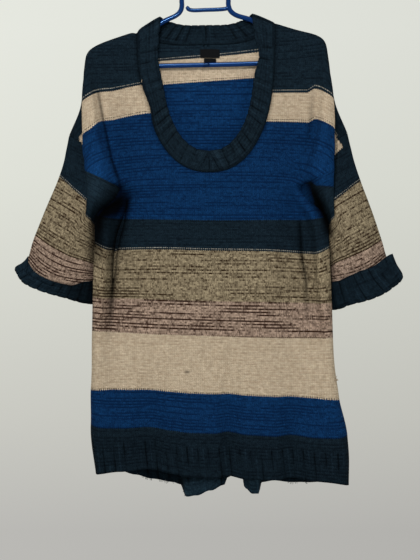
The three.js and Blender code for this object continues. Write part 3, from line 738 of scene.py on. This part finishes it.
def stripe_shift(face, side, p, column, length):
    """How the courses ride up or sag, as mm of cloth."""
    d = p[..., 0]
    if face == "back":
        lift = 58.5 + 0.065 * side * d + 0.174 * np.clip(length - 40, 0, 60)
        return lift * (1 - smooth((length - 110) / 220)) * (1 - smooth((column - 2) / 4))
    if side < 0:
        beside_neck = 10 * np.clip((172 - d) / 55, 0, 1)
        at_armhole = -0.15 * np.clip(length - 110, 0, 60) * smooth((d - 196) / 20)
    else:
        beside_neck = -7.5 * np.clip((192 - d) / 12, 0, 1)
        at_armhole = -60 * smooth((column - 6.85) / 0.05) * (1 - smooth((length - 118) / 14))
    shoulders = (beside_neck + at_armhole) * (1 - smooth((length - 150) / 100))
    waist = -0.01 * side * d * smooth((length - 360) / 20) * (1 - smooth((length - 440) / 60))
    near_side = -3 * smooth((d - 180) / 30)
    low = near_side * smooth((length - 560) / 60) * (1 - smooth((length - 680) / 30))
    return shoulders + waist + low


def panel(face):
    rows = fine_rows(face)
    start = first_column(face, rows)
    dense = np.linspace(0, 1, 420)[None, :] * (SIDE - start[:, None]) + start[:, None]
    column, want = evenly(dense, arc(body_point(face, dense, rows)), COLUMNS)
    column[:, -1] = SIDE
    half = body_point(face, column, rows)
    a = half[:, :1, 0] + want
    b = flat_length(rows, column, half, a)
    yoke = YOKE["length"] - YOKE["row"] * (YOKE["rows"] - rows[:, None])
    striped = np.where(rows[:, None] < YOKE["rows"], np.minimum(b, yoke), b)
    in_front = face == "front"
    # painted shadow along the neck seam, where the neckband's edge shades the panel
    neck_seam_shadow = 1 - 0.45 * np.exp(-((want / 4) ** 2)) * (rows < NECK_BOTTOM[face])[:, None]
    lighter = PURL_LIGHTER * (1 - smooth((column - 3) / 2)) * (1 - smooth((b - 300) / 80))
    free = smooth((SIDE - column) / 1.5) * smooth((b - 60) / 200)
    free = free * smooth((column - start[:, None]) / 0.4 + 0.2)
    rib = smooth((b - HEM_RIB_TOP + 4) / 8)
    # painted shade, growing towards the hem
    hem = 1 - HEM_PAINTED_SHADE * smooth((b - 690) / 60)
    cloth = Cloth(face + "_panel")
    shared = None
    for side in (1, -1):
        hung = hang(half * [side, 1, 1], face, smooth((SIDE - column) / HEM_FADE))
        turns = side * a / HEM_RIB_PITCH
        # the creases are painted darker as shade and drawn in
        deep, drawn = (crease * (1 if in_front else BACK_CREASE) for crease in creased(hung))
        lumps = 1.3 * ripple(hung, 150, 3 if in_front else 4) * free
        relief = rib * 1.2 * (rib_relief(turns) - 0.5)
        beige = np.where(column > 5.2, inside_corners(hung, BEIGE_CORNERS[side]), -50)
        out = lumps + relief - drawn * smooth((SIDE - column) / 0.5)
        hung[..., 1] += -out if in_front else out
        shade = neck_seam_shadow * (1 - deep) * hem
        if in_front:
            shade = shade * glow(hung)
            inside = shade
        else:
            near_tab = nearness(hung[..., 0], hung[..., 2], TAB_HOLLOW["at"], TAB_HOLLOW["size"])
            hung[..., 1] += TAB_HOLLOW["depth"] * near_tab
            # the inside face of the back gets painted light: on the purl side near the neck and where
            # the hem folds forward
            backward, _ = look_up(BACK_FOLDS, hung[..., 0])
            folds = np.clip(-backward, 0, 1) * smooth((HEM_LEVEL - hung[..., 2]) / 8)
            inside = shade * (1 + lighter + FOLD_LIGHTER * folds)
        ids = None
        if shared is not None:
            ids = np.full(column.shape, -1)
            below = rows >= NECK_BOTTOM[face] - 1e-9
            ids[below, 0] = shared[below, 0]
        stripe = striped + stripe_shift(face, side, half, column, b)
        shared = cloth.grid(
            hung, pair(side * a, -b), pair(turns, rib), layers(stripe, shade, beige, inside=inside),
            in_front == (side == 1), ids,
        )
    return cloth, rows, start


# ------------------------------------------------------------------ sleeves and cuffs
armhole = BODY_NET[[0, 3, 4, 5, 6, 7, 8, 9], 7]


def whole_ring(half):
    half = np.array(half, float)
    return np.concatenate([half, mirror_back(half[1:7][::-1], 0)])


REACHES = np.array([0] + [reach for reach, _ in SLEEVE_NET], float)
SLEEVE_RINGS = np.stack([whole_ring(armhole)] + [whole_ring(ring) for _, ring in SLEEVE_NET])


def around(rings, place):
    """rings (m, 14, 3), place (m, k): points on each closed ring."""
    i = np.floor(place).astype(int)
    row = np.arange(len(rings))[:, None]
    picks = (rings[row, (i + k) % RING_SIZE] for k in (-1, 0, 1, 2))
    return span(*picks, place - i)


def armhole_point(place):
    place = np.asarray(place) % RING_SIZE
    out = np.zeros(place.shape + (3,))
    for face, mask in (("front", place <= UNDERARM), ("back", place > UNDERARM)):
        q = np.where(place <= UNDERARM, place, RING_SIZE - place)[mask]
        out[mask] = net_column(face, SIDE, np.where(q < 1, q * 3, q + 2))
    return out


def sleeve_point(side, place, reach):
    """place (m, k) round the ring and reach (m,) from the armhole: points (m, k, 3)."""
    at = np.interp(reach, REACHES, np.arange(len(REACHES)))
    p = around(along(SLEEVE_RINGS, at), place)
    miss = armhole_point(place) - around(np.repeat(SLEEVE_RINGS[:1], len(reach), axis=0), place)
    p = p + miss * (1 - smooth(reach / SEAM_BLEND))[:, None, None]
    free = smooth(np.abs(place % RING_SIZE - UNDERARM) / 5) * smooth(reach / 150)[:, None]
    swing = SLEEVE_SWING[side] * free
    out, down = p[..., 0] - SLEEVE_TOP[0], p[..., 2] - SLEEVE_TOP[1]
    return np.stack([p[..., 0] - swing * down, p[..., 1], p[..., 2] + swing * out], axis=-1)


def ring_places(side, reach):
    """Evenly spaced places from the underarm round the back to the top and down the front."""
    dense = np.linspace(UNDERARM, UNDERARM + RING_SIZE, 700)
    dense = np.broadcast_to(dense, (len(reach), 700))
    length = arc(sleeve_point(side, dense, reach))
    places, want = evenly(dense, length, RING_COLUMNS)
    top = np.stack([np.interp(TOP_FOLD, d, s) for s, d in zip(length, dense)])
    return places, want - top[:, None]


def sleeve(side):
    reach = np.linspace(0, CUFF["sleeve_end"], int(260 / ROW_STEP) + 1)
    place, a = ring_places(side, reach)
    p = sleeve_point(side, place, reach)
    from_underarm = np.minimum(place - UNDERARM, UNDERARM + RING_SIZE - place)
    under = np.exp(-((from_underarm / 1.8) ** 2)) * smooth(reach / 7)[:, None]
    p = p + UNDERARM_TUCK * (under * np.exp(-(((reach - 20) / 20) ** 2))[:, None])[..., None]
    hung = hang(p * [side, 1, 1])
    fade = (smooth(reach / 60) * smooth((CUFF["sleeve_end"] - reach) / 60))[:, None]
    # the creases are painted darker as shade and drawn in
    deep, drawn = creased(hung)
    ahead = hung[..., 1] < 0
    near_seam = smooth(reach / 8)[:, None]
    strength = np.where(ahead, 1, BACK_CREASE)
    bumps = ripple(hung, 110, 6 + side) * fade - drawn * near_seam * strength
    beige = np.where(ahead & (place < BEIGE_TO), inside_corners(hung, BEIGE_CORNERS[side]), -50)
    blue = np.maximum(*(inside_corners(hung, corners) for corners in BLUE_CORNERS))
    blue = np.where(ahead & (place > BLUE_FROM) & (side > 0), blue, -50)
    hung[..., 1] += bumps * smooth(np.abs(hung[..., 1]) / 6) * np.sign(hung[..., 1])
    b = np.broadcast_to(reach[:, None], place.shape)
    top = np.exp(-(((place - TOP_FOLD) / 1.6) ** 2))
    slant = SLEEVE_SLANT[side] * top * smooth((SLEEVE_OLIVE - b) / 110)
    navy = np.maximum(OLIVE_START - SLEEVE_NAVY + b, NAVY_START + 3)
    share = (b - SLEEVE_NAVY) / (SLEEVE_OLIVE - SLEEVE_NAVY)
    olive = OLIVE_START + (OLIVE_END - OLIVE_START) * share
    stripe = np.where(b < SLEEVE_NAVY, navy, olive) + slant
    cloth = Cloth("sleeve_left" if side < 0 else "sleeve_right")
    shade = SLEEVE_SHADE * (1 - deep * strength) * np.where(ahead, glow(hung), 1)
    cloth.ring(hung, pair(side * a, -b), pair(0 * a, 0), layers(stripe, shade, beige, blue), side > 0)
    return cloth


def outward(side, place, reach):
    step = 0.02
    turn = sleeve_point(side, place + step, reach) - sleeve_point(side, place - step, reach)
    down = sleeve_point(side, place, reach + 1) - sleeve_point(side, place, reach - 1)
    normal = np.cross(turn, down)
    return normal / np.linalg.norm(normal, axis=-1, keepdims=True)


def cuff(side):
    place, a = ring_places(side, np.array([CUFF["fold"] - 20.0]))
    from_top = np.abs(place - TOP_FOLD)
    top = np.exp(-from_top ** 2)
    front = place > TOP_FOLD
    share, fall = np.array(CUFF_SAG[side], float).T
    sag = np.where(front, np.interp(np.minimum(from_top / UNDERARM, 1), share, fall), 0)
    short = CUFF_SHORT[side] * np.exp(-((from_top / 1.8) ** 2))
    lower, flare = CUFF_TOP[side] * top, CUFF_FLARE[side]
    fold, off = CUFF["fold"], CUFF["stand_off"]
    bend = fold - CUFF["turn"] + short
    edge = CUFF["free_edge"] + sag + lower
    stations = [
        (CUFF["sleeve_end"] + 0 * sag, 0 * top),
        (bend, 0 * top),
        (fold + short, off / 2 + 0 * top),
        (bend, off + 1.5 * top),
        ((fold + edge) / 2, off + flare[0] * top),
        (edge, off + flare[1] * top),
    ]
    rings = []
    for reach, out in stations:
        reach, out, at = reach[0], out[0], place[0]
        p = sleeve_point(side, at[:, None], reach)[:, 0]
        normal = outward(side, at[:, None], reach)[:, 0]
        rings.append(p + normal * out[:, None])
    rings = np.stack(rings)
    spans = [np.linspace(0, 1, 8), np.linspace(1, 3, 9), np.linspace(3, 5, 14)]
    fine = np.unique(np.concatenate(spans))
    points = along(rings, fine)
    steps = np.linalg.norm(np.diff(points, axis=0), axis=-1).mean(axis=1)
    b = np.concatenate([[0], np.cumsum(steps)])
    b = np.broadcast_to(b[:, None], points.shape[:2])
    a = np.broadcast_to(a, points.shape[:2])
    ribs = round((a[0, -1] - a[0, 0]) / CUFF_RIB_PITCH)
    turns = (a - a[:, :1]) / (a[:, -1:] - a[:, :1]) * ribs
    cloth = Cloth("cuff_left" if side < 0 else "cuff_right")
    hung = hang(points * [side, 1, 1])
    towards_body = smooth((CUFF_SHADOW_X - np.abs(hung[..., 0])) / 70)
    shade = CUFF_SHADE[side] * (1 - CUFF_SHADOW[side] * towards_body * (hung[..., 1] < 0))
    cloth.ring(hung, pair(side * a, -b), pair(turns, 1), layers(IN_NAVY, shade), side > 0)
    cloth.emboss(lambda ribs: 1.3 * (rib_relief(ribs[:, 0]) - 0.5))
    return cloth


# ------------------------------------------------------------------ wear
HEM_FUZZ = [(-128, -42, 26), (150, 190, 9)]  # from x, to x, how many
TUFT, YARN_END = (243, -777), (-110, -245)


def nearest(cloth, x, z):
    """The point of a cloth nearest to a place in x and z."""
    p = np.concatenate(cloth.points)
    return p[np.argmin(np.hypot(p[:, 0] - x, p[:, 2] - z))]


def loose_yarn(front, back):
    """Fuzz along the back hem, a tuft at the right edge and a yarn end beside the neckband."""
    rng = np.random.default_rng(11)
    for x in np.concatenate([rng.uniform(*patch) for patch in HEM_FUZZ]):
        foot = nearest(back, x, -990)
        tip = foot + [rng.normal() * 1.5, rng.normal(), -rng.uniform(1.5, 4.5)]
        back.hairs.append(([foot, (foot + tip) / 2 + rng.normal(size=3) * 0.4, tip], 0.45, IN_NAVY))
    tuft = nearest(front, *TUFT)
    for _ in range(5):
        tip = tuft + [rng.uniform(1, 5), rng.normal(), rng.normal() * 3]
        front.hairs.append(([tuft, (tuft + tip) / 2 + rng.normal(size=3) * 0.5, tip], 0.7, IN_BEIGE))
    end = nearest(front, *YARN_END)
    for _ in range(3):
        tip = end + [rng.uniform(-1, 3), -rng.uniform(2, 3), rng.uniform(4, 9)]
        front.hairs.append(([end, (end + tip) / 2, tip], 0.8, IN_BEIGE))


# ------------------------------------------------------------------ neckband
def neck_edge(face, p):
    d, y, z = p[:, 0], p[:, 1], p[:, 2]
    share = d / NECK["half"]
    inset, lift = BAND_SHOULDER["inset"], BAND_SHOULDER["lift"]
    over = np.stack([share * (NECK["half"] - inset), y, z + lift], axis=-1)
    if face == "back":
        over[:, 2] += (BAND_BACK_LIFT - lift) * (1 - share ** 4)
        return over
    t = np.maximum(0, SHOULDER_HEIGHT - z) / NECK["depth"]
    height = NECK_EDGE["top"] - t * NECK_EDGE["depth"]
    below = np.stack([neck_width(NECK_EDGE, height), y * 1.05, height], axis=-1)
    w = np.exp(-((t / BAND_SHOULDER["fade"]) ** 2))[:, None]
    return below + (over - below) * w


def neckband(fronts, backs):
    outer, inner = [], []
    for face, (rows, start) in (("front", fronts), ("back", backs)):
        keep = rows <= NECK_BOTTOM[face] + 1e-9
        p = body_point(face, start[keep][:, None], rows[keep])[:, 0]
        edge = neck_edge(face, p)
        if face == "front":
            p, edge = p[::-1], edge[::-1]
        else:
            p, edge = p[1:], edge[1:]
        outer.append(p)
        inner.append(edge)
    outer, inner = np.concatenate(outer), np.concatenate(inner)
    # the whole loop: up the right side to the middle of the back, and down the left
    mirror = [-1, 1, 1]
    outer = np.concatenate([outer, outer[-2::-1] * mirror])
    inner = np.concatenate([inner, inner[-2::-1] * mirror])
    length = arc(outer[None])[0]
    count = int(length[-1] / BAND_STEP)
    at = np.linspace(0, length[-1], count + 1)
    outer, inner = (resampled(line, length, at) for line in (outer, inner))
    ribs = round(length[-1] / BAND_RIB_PITCH)
    turns = np.linspace(0, ribs, count + 1)
    inner = inner + (outer - inner) * 0.035 * (1 - rib_relief(turns))[:, None]
    share = np.linspace(0, 1, 17)[:, None]
    hung = hang(outer[None] + (inner - outer)[None] * share[..., None])
    cloth = Cloth("neckband")
    at_seam, at_edge = (np.exp(-((s * BAND_WIDTH / 3) ** 2)) for s in (share, 1 - share))
    shade = (1 - 0.5 * at_seam) * (1 - 0.3 * at_edge) + 0 * at[None]
    flat = pair(at[None] - length[-1] / 2, -BAND_WIDTH * share)
    cloth.ring(hung, flat, pair(turns[None], share), layers(IN_NAVY, shade), False)

    def height(ribs):
        crown = 1.2 * np.sin(np.pi * np.clip(ribs[:, 1], 0, 1)) ** 0.6
        return crown + 2.6 * (rib_relief(ribs[:, 0]) - 0.5) * smooth(ribs[:, 1] / 0.1)

    cloth.emboss(height)
    return cloth


# ------------------------------------------------------------------ hanger
def tube(points, radius, sides=16, step=3.0, round_end=False):
    """A closed tube along [x, z] points: vertices, quads and the two end caps."""
    curve = np.array([[x, 0, z] for x, z in points], float)
    at = np.linspace(0, len(curve) - 1, 80 * (len(curve) - 1) + 1)
    line = along(curve, at)
    length = arc(line[None])[0]
    even = np.linspace(0, length[-1], max(3, int(length[-1] / step)))
    line = resampled(line, length, even)
    way = np.gradient(line, axis=0)
    way /= np.linalg.norm(way, axis=1, keepdims=True)
    across_way = np.cross(way, [0, 1, 0])
    angle = np.arange(sides) * 2 * np.pi / sides
    size = np.full(len(line), float(radius))
    if round_end:
        tip = length[-1] - even
        size = radius * np.sqrt(np.clip(1 - (1 - np.clip(tip / radius, 0, 1)) ** 2, 0.02, 1))
    cos, sin = (size[:, None, None] * f(angle)[None, :, None] for f in (np.cos, np.sin))
    ring = line[:, None] + cos * across_way[:, None] + sin * np.array([0.0, 1.0, 0.0])
    ids, quads = between_rings(len(line), sides)
    return ring.reshape(-1, 3), quads, [ids[0], ids[-1][::-1]]


def make_hanger():
    mirrored = [[-x, z] for x, z in FRAME_BAR]
    verts, faces = [], []
    base = 0
    for line, radius, rounded in (
        (FRAME_BAR, TUBE_RADIUS, False), (mirrored, TUBE_RADIUS, False),
        (HOOK_BAR[::-1], TUBE_RADIUS, True), (ACCESSORY_BAR, ACCESSORY_RADIUS, True),
    ):
        points, quads, caps = tube(line, radius, round_end=rounded)
        verts.append(points)
        faces.extend((quads + base).tolist())
        faces.extend((cap + base).tolist() for cap in caps)
        base += len(points)
    points = np.concatenate(verts)
    lean_cos, lean_sin = math.cos(HANGER_LEAN), math.sin(HANGER_LEAN)
    x, z = points[:, 0].copy(), points[:, 2].copy()
    points[:, 0], points[:, 2] = nudged(x * lean_cos - z * lean_sin, z * lean_cos + x * lean_sin)
    mesh = bpy.data.meshes.new("hanger_bars")
    mesh.from_pydata((points * MM).tolist(), [], faces)
    mesh.polygons.foreach_set("use_smooth", np.ones(len(mesh.polygons), bool))
    mesh.update()
    return placed("hanger_bars", mesh)


# ------------------------------------------------------------------ materials
def linear(r, g, b):
    def channel(v):
        v /= 255
        return v / 12.92 if v <= 0.04045 else ((v + 0.055) / 1.055) ** 2.4

    return (channel(r), channel(g), channel(b), 1)


class Nodes:
    """A short way to write a node tree."""

    def __init__(self, tree):
        self.tree = tree

    def new(self, kind, **settings):
        node = self.tree.nodes.new(kind)
        for key, value in settings.items():
            setattr(node, key, value)
        return node

    def put(self, socket, value):
        if hasattr(value, "is_linked"):
            self.tree.links.new(value, socket)
        else:
            socket.default_value = value

    def math(self, operation, a, b=0.0, c=0.0, clamp=False):
        node = self.new("ShaderNodeMath", operation=operation, use_clamp=clamp)
        for socket, value in zip(node.inputs, (a, b, c)):
            self.put(socket, value)
        return node.outputs[0]

    def times(self, value, *others):
        for other in others:
            value = self.math("MULTIPLY", value, other)
        return value

    def mix(self, factor, a, b, blend="MIX"):
        node = self.new("ShaderNodeMix", data_type="RGBA", blend_type=blend)
        self.put(node.inputs[0], factor)
        self.put(node.inputs[6], a)
        self.put(node.inputs[7], b)
        return node.outputs[2]

    def step(self, x, low, high):
        node = self.new("ShaderNodeMapRange", interpolation_type="SMOOTHSTEP")
        for socket, value in zip(node.inputs, (x, low, high, 0.0, 1.0)):
            self.put(socket, value)
        return node.outputs[0]

    def combine(self, x, y, z=0.0):
        node = self.new("ShaderNodeCombineXYZ")
        for socket, value in zip(node.inputs, (x, y, z)):
            self.put(socket, value)
        return node.outputs[0]

    def noise(self, vector, scale=1.0, detail=2.0, rough=0.5):
        node = self.new("ShaderNodeTexNoise")
        self.put(node.inputs["Vector"], vector)
        self.put(node.inputs["Scale"], scale)
        self.put(node.inputs["Detail"], detail)
        self.put(node.inputs["Roughness"], rough)
        return node.outputs[0]

    def ramp(self, x, stops):
        """stops: [(mm of cloth, colour)], each colour kept until the next."""
        node = self.new("ShaderNodeValToRGB")
        node.color_ramp.interpolation = "CONSTANT"
        points = node.color_ramp.elements
        while len(points) < len(stops):
            points.new(1.0)
        for point, (place, colour) in zip(points, stops):
            point.position = place / RAMP_LENGTH
            point.color = colour
        self.put(node.inputs[0], self.math("DIVIDE", x, RAMP_LENGTH))
        return node.outputs[0]


NAVY, NAVY_DARK = linear(23, 37, 48), linear(13, 23, 32)
BLUE, BLUE_DARK = linear(14, 51, 94), linear(7, 32, 66)
BEIGE, BEIGE_DARK = linear(190, 174, 154), linear(164, 146, 126)
OLIVE, OLIVE_DARK = linear(158, 144, 120), linear(50, 37, 26)
PINK, PINK_DARK = linear(176, 153, 138), linear(48, 30, 24)
PALE_LOOPS, DARK_LOOPS = linear(150, 147, 140), linear(34, 27, 24)

RAMP_LENGTH = 800.0  # mm of cloth, more than the body's longest
# From each place down the cloth in mm: the yarn, its darker strand, how much of that shows, and
# how streaky it is.
STRIPES = [
    (0, NAVY, NAVY_DARK, 0.4, 0.5),
    (94, BEIGE, BEIGE_DARK, 0.4, 0.25),
    (144, BLUE, BLUE_DARK, 0.42, 0.8),
    (337, NAVY, NAVY_DARK, 0.4, 0.5),
    (391.6, OLIVE, OLIVE_DARK, 0.38, 0.5),
    (408, OLIVE, OLIVE_DARK, 0.37, 0.42),
    (466, OLIVE, OLIVE_DARK, 0.42, 0.7),
    (484, PINK, PINK_DARK, 0.35, 0.7),
    (500, PINK, PINK_DARK, 0.38, 0.8),
    (541, PINK, PINK_DARK, 0.50, 0.9),
    (544, BEIGE, BEIGE_DARK, 0.4, 0.25),
    (643, BLUE, BLUE_DARK, 0.42, 0.8),
    (715, NAVY, NAVY_DARK, 0.4, 0.5),
]
# Just before some yarns meet, a row of the next one's loops shows: where it begins, and its colour.
LOOP_ROWS = [(91.6, PALE_LOOPS), (142.5, DARK_LOOPS), (390, PALE_LOOPS), (641.3, DARK_LOOPS)]
LOOP_ROW_HEIGHT = 1.2


def new_material(name):
    material = bpy.data.materials.new(name)
    material.use_nodes = True
    return material, material.node_tree.nodes["Principled BSDF"]


def knit_material():
    material, shader = new_material("wool_knit")
    n = Nodes(material.node_tree)

    def attribute(name):
        return n.new("ShaderNodeAttribute", attribute_name=name).outputs["Fac"]

    def split(name):
        parts = n.new("ShaderNodeSeparateXYZ")
        n.put(parts.inputs[0], n.new("ShaderNodeUVMap", uv_map=name).outputs[0])
        return parts.outputs[0], parts.outputs[1]

    u, v = split("flat")
    turns, ribbed = split("ribs")
    wale = n.times(u, 1000 / STITCH_WIDTH)
    course = n.times(v, -1000 / COURSE_HEIGHT)

    # each stitch is a V: two legs that lean towards its foot
    side = n.math("ABSOLUTE", n.math("SUBTRACT", n.math("FRACT", wale), 0.5))
    lean = n.times(side, 1.3)
    leaning = n.math("ADD", course, lean)
    leg = n.math("SINE", n.times(n.math("FRACT", leaning), math.pi))
    gutter = n.step(n.math("SUBTRACT", 0.5, side), 0.0, 0.16)
    spine = n.math("MULTIPLY_ADD", n.step(side, 0.0, 0.12), 0.5, 0.5)
    height = n.times(leg, gutter, spine)

    # colours change on a course, so the boundary follows the Vs
    jag = n.times(n.math("SUBTRACT", side, 0.25), COURSE_HEIGHT * 1.5)
    stripe = attribute("stripe")
    place = n.math("ADD", stripe, jag)
    base = n.ramp(place, [(s[0], s[1]) for s in STRIPES])
    dark = n.ramp(place, [(s[0], s[2]) for s in STRIPES])
    mixing = n.new("ShaderNodeSeparateXYZ")
    n.put(mixing.inputs[0], n.ramp(place, [(s[0], (s[3], s[4], 0, 1)) for s in STRIPES]))
    beige = n.step(n.math("ADD", attribute("beige_part"), jag), -0.2, 0.2)
    blue = n.step(n.math("ADD", attribute("blue_part"), jag), -0.2, 0.2)
    for part, yarn_colour, darker in ((beige, BEIGE, BEIGE_DARK), (blue, BLUE, BLUE_DARK)):
        base = n.mix(part, base, yarn_colour)
        dark = n.mix(part, dark, darker)

    row = n.math("FLOOR", n.math("MULTIPLY_ADD", side, 0.3, course))
    leg_number = n.math("FLOOR", n.times(wale, 2.0))
    stitch = n.new("ShaderNodeTexWhiteNoise", noise_dimensions="2D")
    n.put(stitch.inputs["Vector"], n.combine(leg_number, row))
    loops = n.step(n.math("MULTIPLY_ADD", stitch.outputs["Value"], 0.3, side), 0.3, 0.45)
    for start, loop_colour in LOOP_ROWS:
        below = n.step(stripe, start, start + 0.2)
        above = n.step(stripe, start + LOOP_ROW_HEIGHT + 0.2, start + LOOP_ROW_HEIGHT)
        inside = n.times(below, above, loops)
        base = n.mix(inside, base, loop_colour)
        dark = n.mix(inside, dark, loop_colour)

    # the darker strand shows as specks, and as lines along a course
    speck = n.noise(n.combine(n.times(wale, 0.5), n.times(row, 7.31)), 1.0, 0.0)
    run = n.noise(n.combine(n.times(wale, 0.03), n.times(row, 5.37)), 1.0, 1.0)
    every_other = n.math("PINGPONG", row, 1.0)
    line = n.times(n.step(run, 0.42, 0.58), every_other, mixing.outputs[1])
    strand = n.math("ADD", mixing.outputs[0], line)
    for noise, strength in ((stitch.outputs["Value"], 0.6), (speck, 1.05)):
        strand = n.math("ADD", strand, n.times(n.math("SUBTRACT", noise, 0.5), strength))
    colour = n.mix(n.math("ADD", strand, 0.0, clamp=True), base, dark)

    # ribs stand between grooves: the grooves get painted shade, the crests a painted highlight, and
    # creases are shaded
    rib_turn = n.math("FRACT", turns)
    from_groove = n.times(n.math("MINIMUM", rib_turn, n.math("SUBTRACT", 1.0, rib_turn)), 2.0)
    uneven = n.noise(n.combine(n.times(turns, 0.8), n.times(v, 25.0)), 1.0, 1.0)
    uneven = n.times(n.step(uneven, 0.35, 0.65), n.step(ribbed, 0.0, 0.3))
    groove_shade = n.times(n.math("SUBTRACT", 1.0, n.step(from_groove, 0.05, 0.3)), uneven)
    crest_highlight = n.times(n.step(from_groove, 0.72, 0.95), uneven)
    grain = n.noise(n.combine(n.times(wale, 0.6), n.times(course, 1.5)), 0.6, 3.0, 0.7)
    each_wale = n.times(n.math("FLOOR", wale), 7.7)
    wales = n.noise(n.combine(each_wale, n.times(course, 0.1)))
    tone = n.math("MULTIPLY_ADD", grain, 0.9, 0.42)
    tone = n.math("ADD", tone, n.times(wales, 0.26))
    # painted shade in the stitches' low places and the ribs' grooves, and a painted highlight on the
    # ribs' crests
    for part, much, least in ((height, 0.36, 0.74), (groove_shade, -0.6, 1.0), (crest_highlight, 0.45, 1.0)):
        tone = n.times(tone, n.math("MULTIPLY_ADD", part, much, least))
    tone = n.times(tone, attribute("shade"))
    colour = n.mix(1.0, colour, n.combine(tone, tone, tone), "MULTIPLY")
    n.put(shader.inputs["Base Color"], colour)
    shader.inputs["Roughness"].default_value = 0.95
    shader.inputs["Specular IOR Level"].default_value = 0.02

    fuzz = n.noise(n.combine(n.times(wale, 3.1), n.times(course, 2.3)), 1.0, 2.0)
    bump = n.new("ShaderNodeBump")
    n.put(bump.inputs["Height"], n.math("MULTIPLY_ADD", fuzz, 0.35, height))
    bump.inputs["Distance"].default_value = 0.0011
    bump.inputs["Strength"].default_value = 0.8
    n.put(shader.inputs["Normal"], bump.outputs[0])
    return material


def plain_material(name, colour, roughness, specular, tint=(1, 1, 1, 1)):
    material, shader = new_material(name)
    shader.inputs["Base Color"].default_value = colour
    shader.inputs["Roughness"].default_value = roughness
    shader.inputs["Specular IOR Level"].default_value = specular
    shader.inputs["Specular Tint"].default_value = tint
    return material


# ------------------------------------------------------------------ the pieces
knit = knit_material()
front, front_rows, front_start = panel("front")
back, back_rows, back_start = panel("back")
band = neckband((front_rows, front_start), (back_rows, back_start))
loose_yarn(front, back)
made = {}
for cloth in (front, back, sleeve(-1), sleeve(1), cuff(-1), cuff(1), band):
    obj = cloth.build()
    obj.data.materials.append(knit)
    made[cloth.name] = obj
hanger = make_hanger()
plastic = plain_material("blue_plastic", linear(0, 30, 80), 0.14, 0.5, linear(120, 175, 240))
hanger.data.materials.append(plastic)

for node, obj in made.items():
    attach(obj, "root")
    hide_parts(node)
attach(hanger, "root")
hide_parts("hanger")
tape = plain_material("black_tape", linear(4, 5, 8), 0.7, 0.06)
for node in ("label", "size_tab"):
    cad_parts[node].data.materials.clear()
    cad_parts[node].data.materials.append(tape)

# ------------------------------------------------------------------ studio
FLOOR_DROP, FLOOR_RADIUS = 1.7, 18  # m from the lowest point down to the floor, and its size in m


def make_floor():
    place = (0, 0, cad_box[0].z - FLOOR_DROP)
    bpy.ops.mesh.primitive_circle_add(
        vertices=96, radius=FLOOR_RADIUS, fill_type="NGON", location=place
    )
    floor = bpy.context.object
    floor.name = "floor"
    floor.data.materials.append(plain_material("pale_floor", linear(226, 225, 218), 0.9, 0.1))


# Where each light is and what it points at, in m, its size in m, its watts and its colour.
LIGHTS = {
    "key": ((-0.35, -2.3, 0.65), (0, 0, -0.55), 0.35, 42, (1.0, 0.97, 0.93)),
    "fill": ((1.2, -2.2, -0.9), (0, 0, -0.6), 1.4, 6, (0.94, 0.97, 1.0)),
    "gloss": ((0, -1.3, 1.6), (0, 0, -0.2), 0.7, 34, (1, 1, 1)),
}


def area_light(name, place, aim, size, watts, colour):
    data = bpy.data.lights.new(name, "AREA")
    data.energy = watts
    data.size = size
    data.color = colour
    light = placed(name, data)
    light.location = place
    light.visible_camera = False
    light.rotation_euler = Vector(np.subtract(aim, place)).to_track_quat("-Z", "Y").to_euler()
    return light


# The surround's colour by the upward part of the view direction, over a span about level.
SURROUND = [
    (-0.075, (182, 181, 177)),
    (-0.041, (197, 197, 190)),
    (0.029, (218, 220, 211)),
    (0.075, (225, 227, 219)),
]
SURROUND_SPAN = 0.3
SIDE_LIMIT, SIDE_SLOPE = 0.07, -0.75  # up to where it changes to the side, and by how much


def make_world():
    """A pale surround, lighter above than below and a little lighter to the left."""
    world = bpy.data.worlds.new("studio")
    bpy.context.scene.world = world
    world.use_nodes = True
    n = Nodes(world.node_tree)
    background = world.node_tree.nodes["Background"]
    parts = n.new("ShaderNodeSeparateXYZ")
    n.put(parts.inputs[0], n.new("ShaderNodeTexCoord").outputs["Generated"])
    ramp = n.new("ShaderNodeValToRGB")
    points = ramp.color_ramp.elements
    points.new(0.4)
    points.new(0.6)
    for point, (rise, colour) in zip(points, SURROUND):
        point.position = (rise + SURROUND_SPAN / 2) / SURROUND_SPAN
        point.color = linear(*colour)
    n.put(ramp.inputs[0], n.math("MULTIPLY_ADD", parts.outputs[2], 1 / SURROUND_SPAN, 0.5))
    across = n.math("MINIMUM", n.math("MAXIMUM", parts.outputs[0], -SIDE_LIMIT), SIDE_LIMIT)
    sideways = n.math("MULTIPLY_ADD", across, SIDE_SLOPE, 1.0)
    colour = n.mix(1.0, ramp.outputs[0], n.combine(sideways, sideways, sideways), "MULTIPLY")
    n.put(background.inputs["Color"], colour)
    background.inputs["Strength"].default_value = 1.0


# In mm: the camera's place, its distance from the plane it frames, and how tall that view is.
CAMERA = {"x": 11.0, "z": -599.0, "distance": 6000.0, "plane": -15.0, "tall": 1008.0}


def make_camera():
    data = bpy.data.cameras.new("camera")
    data.lens = data.sensor_width * CAMERA["distance"] / CAMERA["tall"]
    camera = placed("camera", data)
    y = CAMERA["plane"] - CAMERA["distance"]
    camera.location = (CAMERA["x"] * MM, y * MM, CAMERA["z"] * MM)
    camera.rotation_euler = (math.pi / 2, 0, 0)
    bpy.context.scene.camera = camera


make_floor()
make_world()
make_camera()
lights = {name: area_light(name, *settings) for name, settings in LIGHTS.items()}
lights["gloss"].visible_diffuse = False  # it only draws the highlights along the hanger
bpy.context.scene.view_settings.view_transform = "Standard"
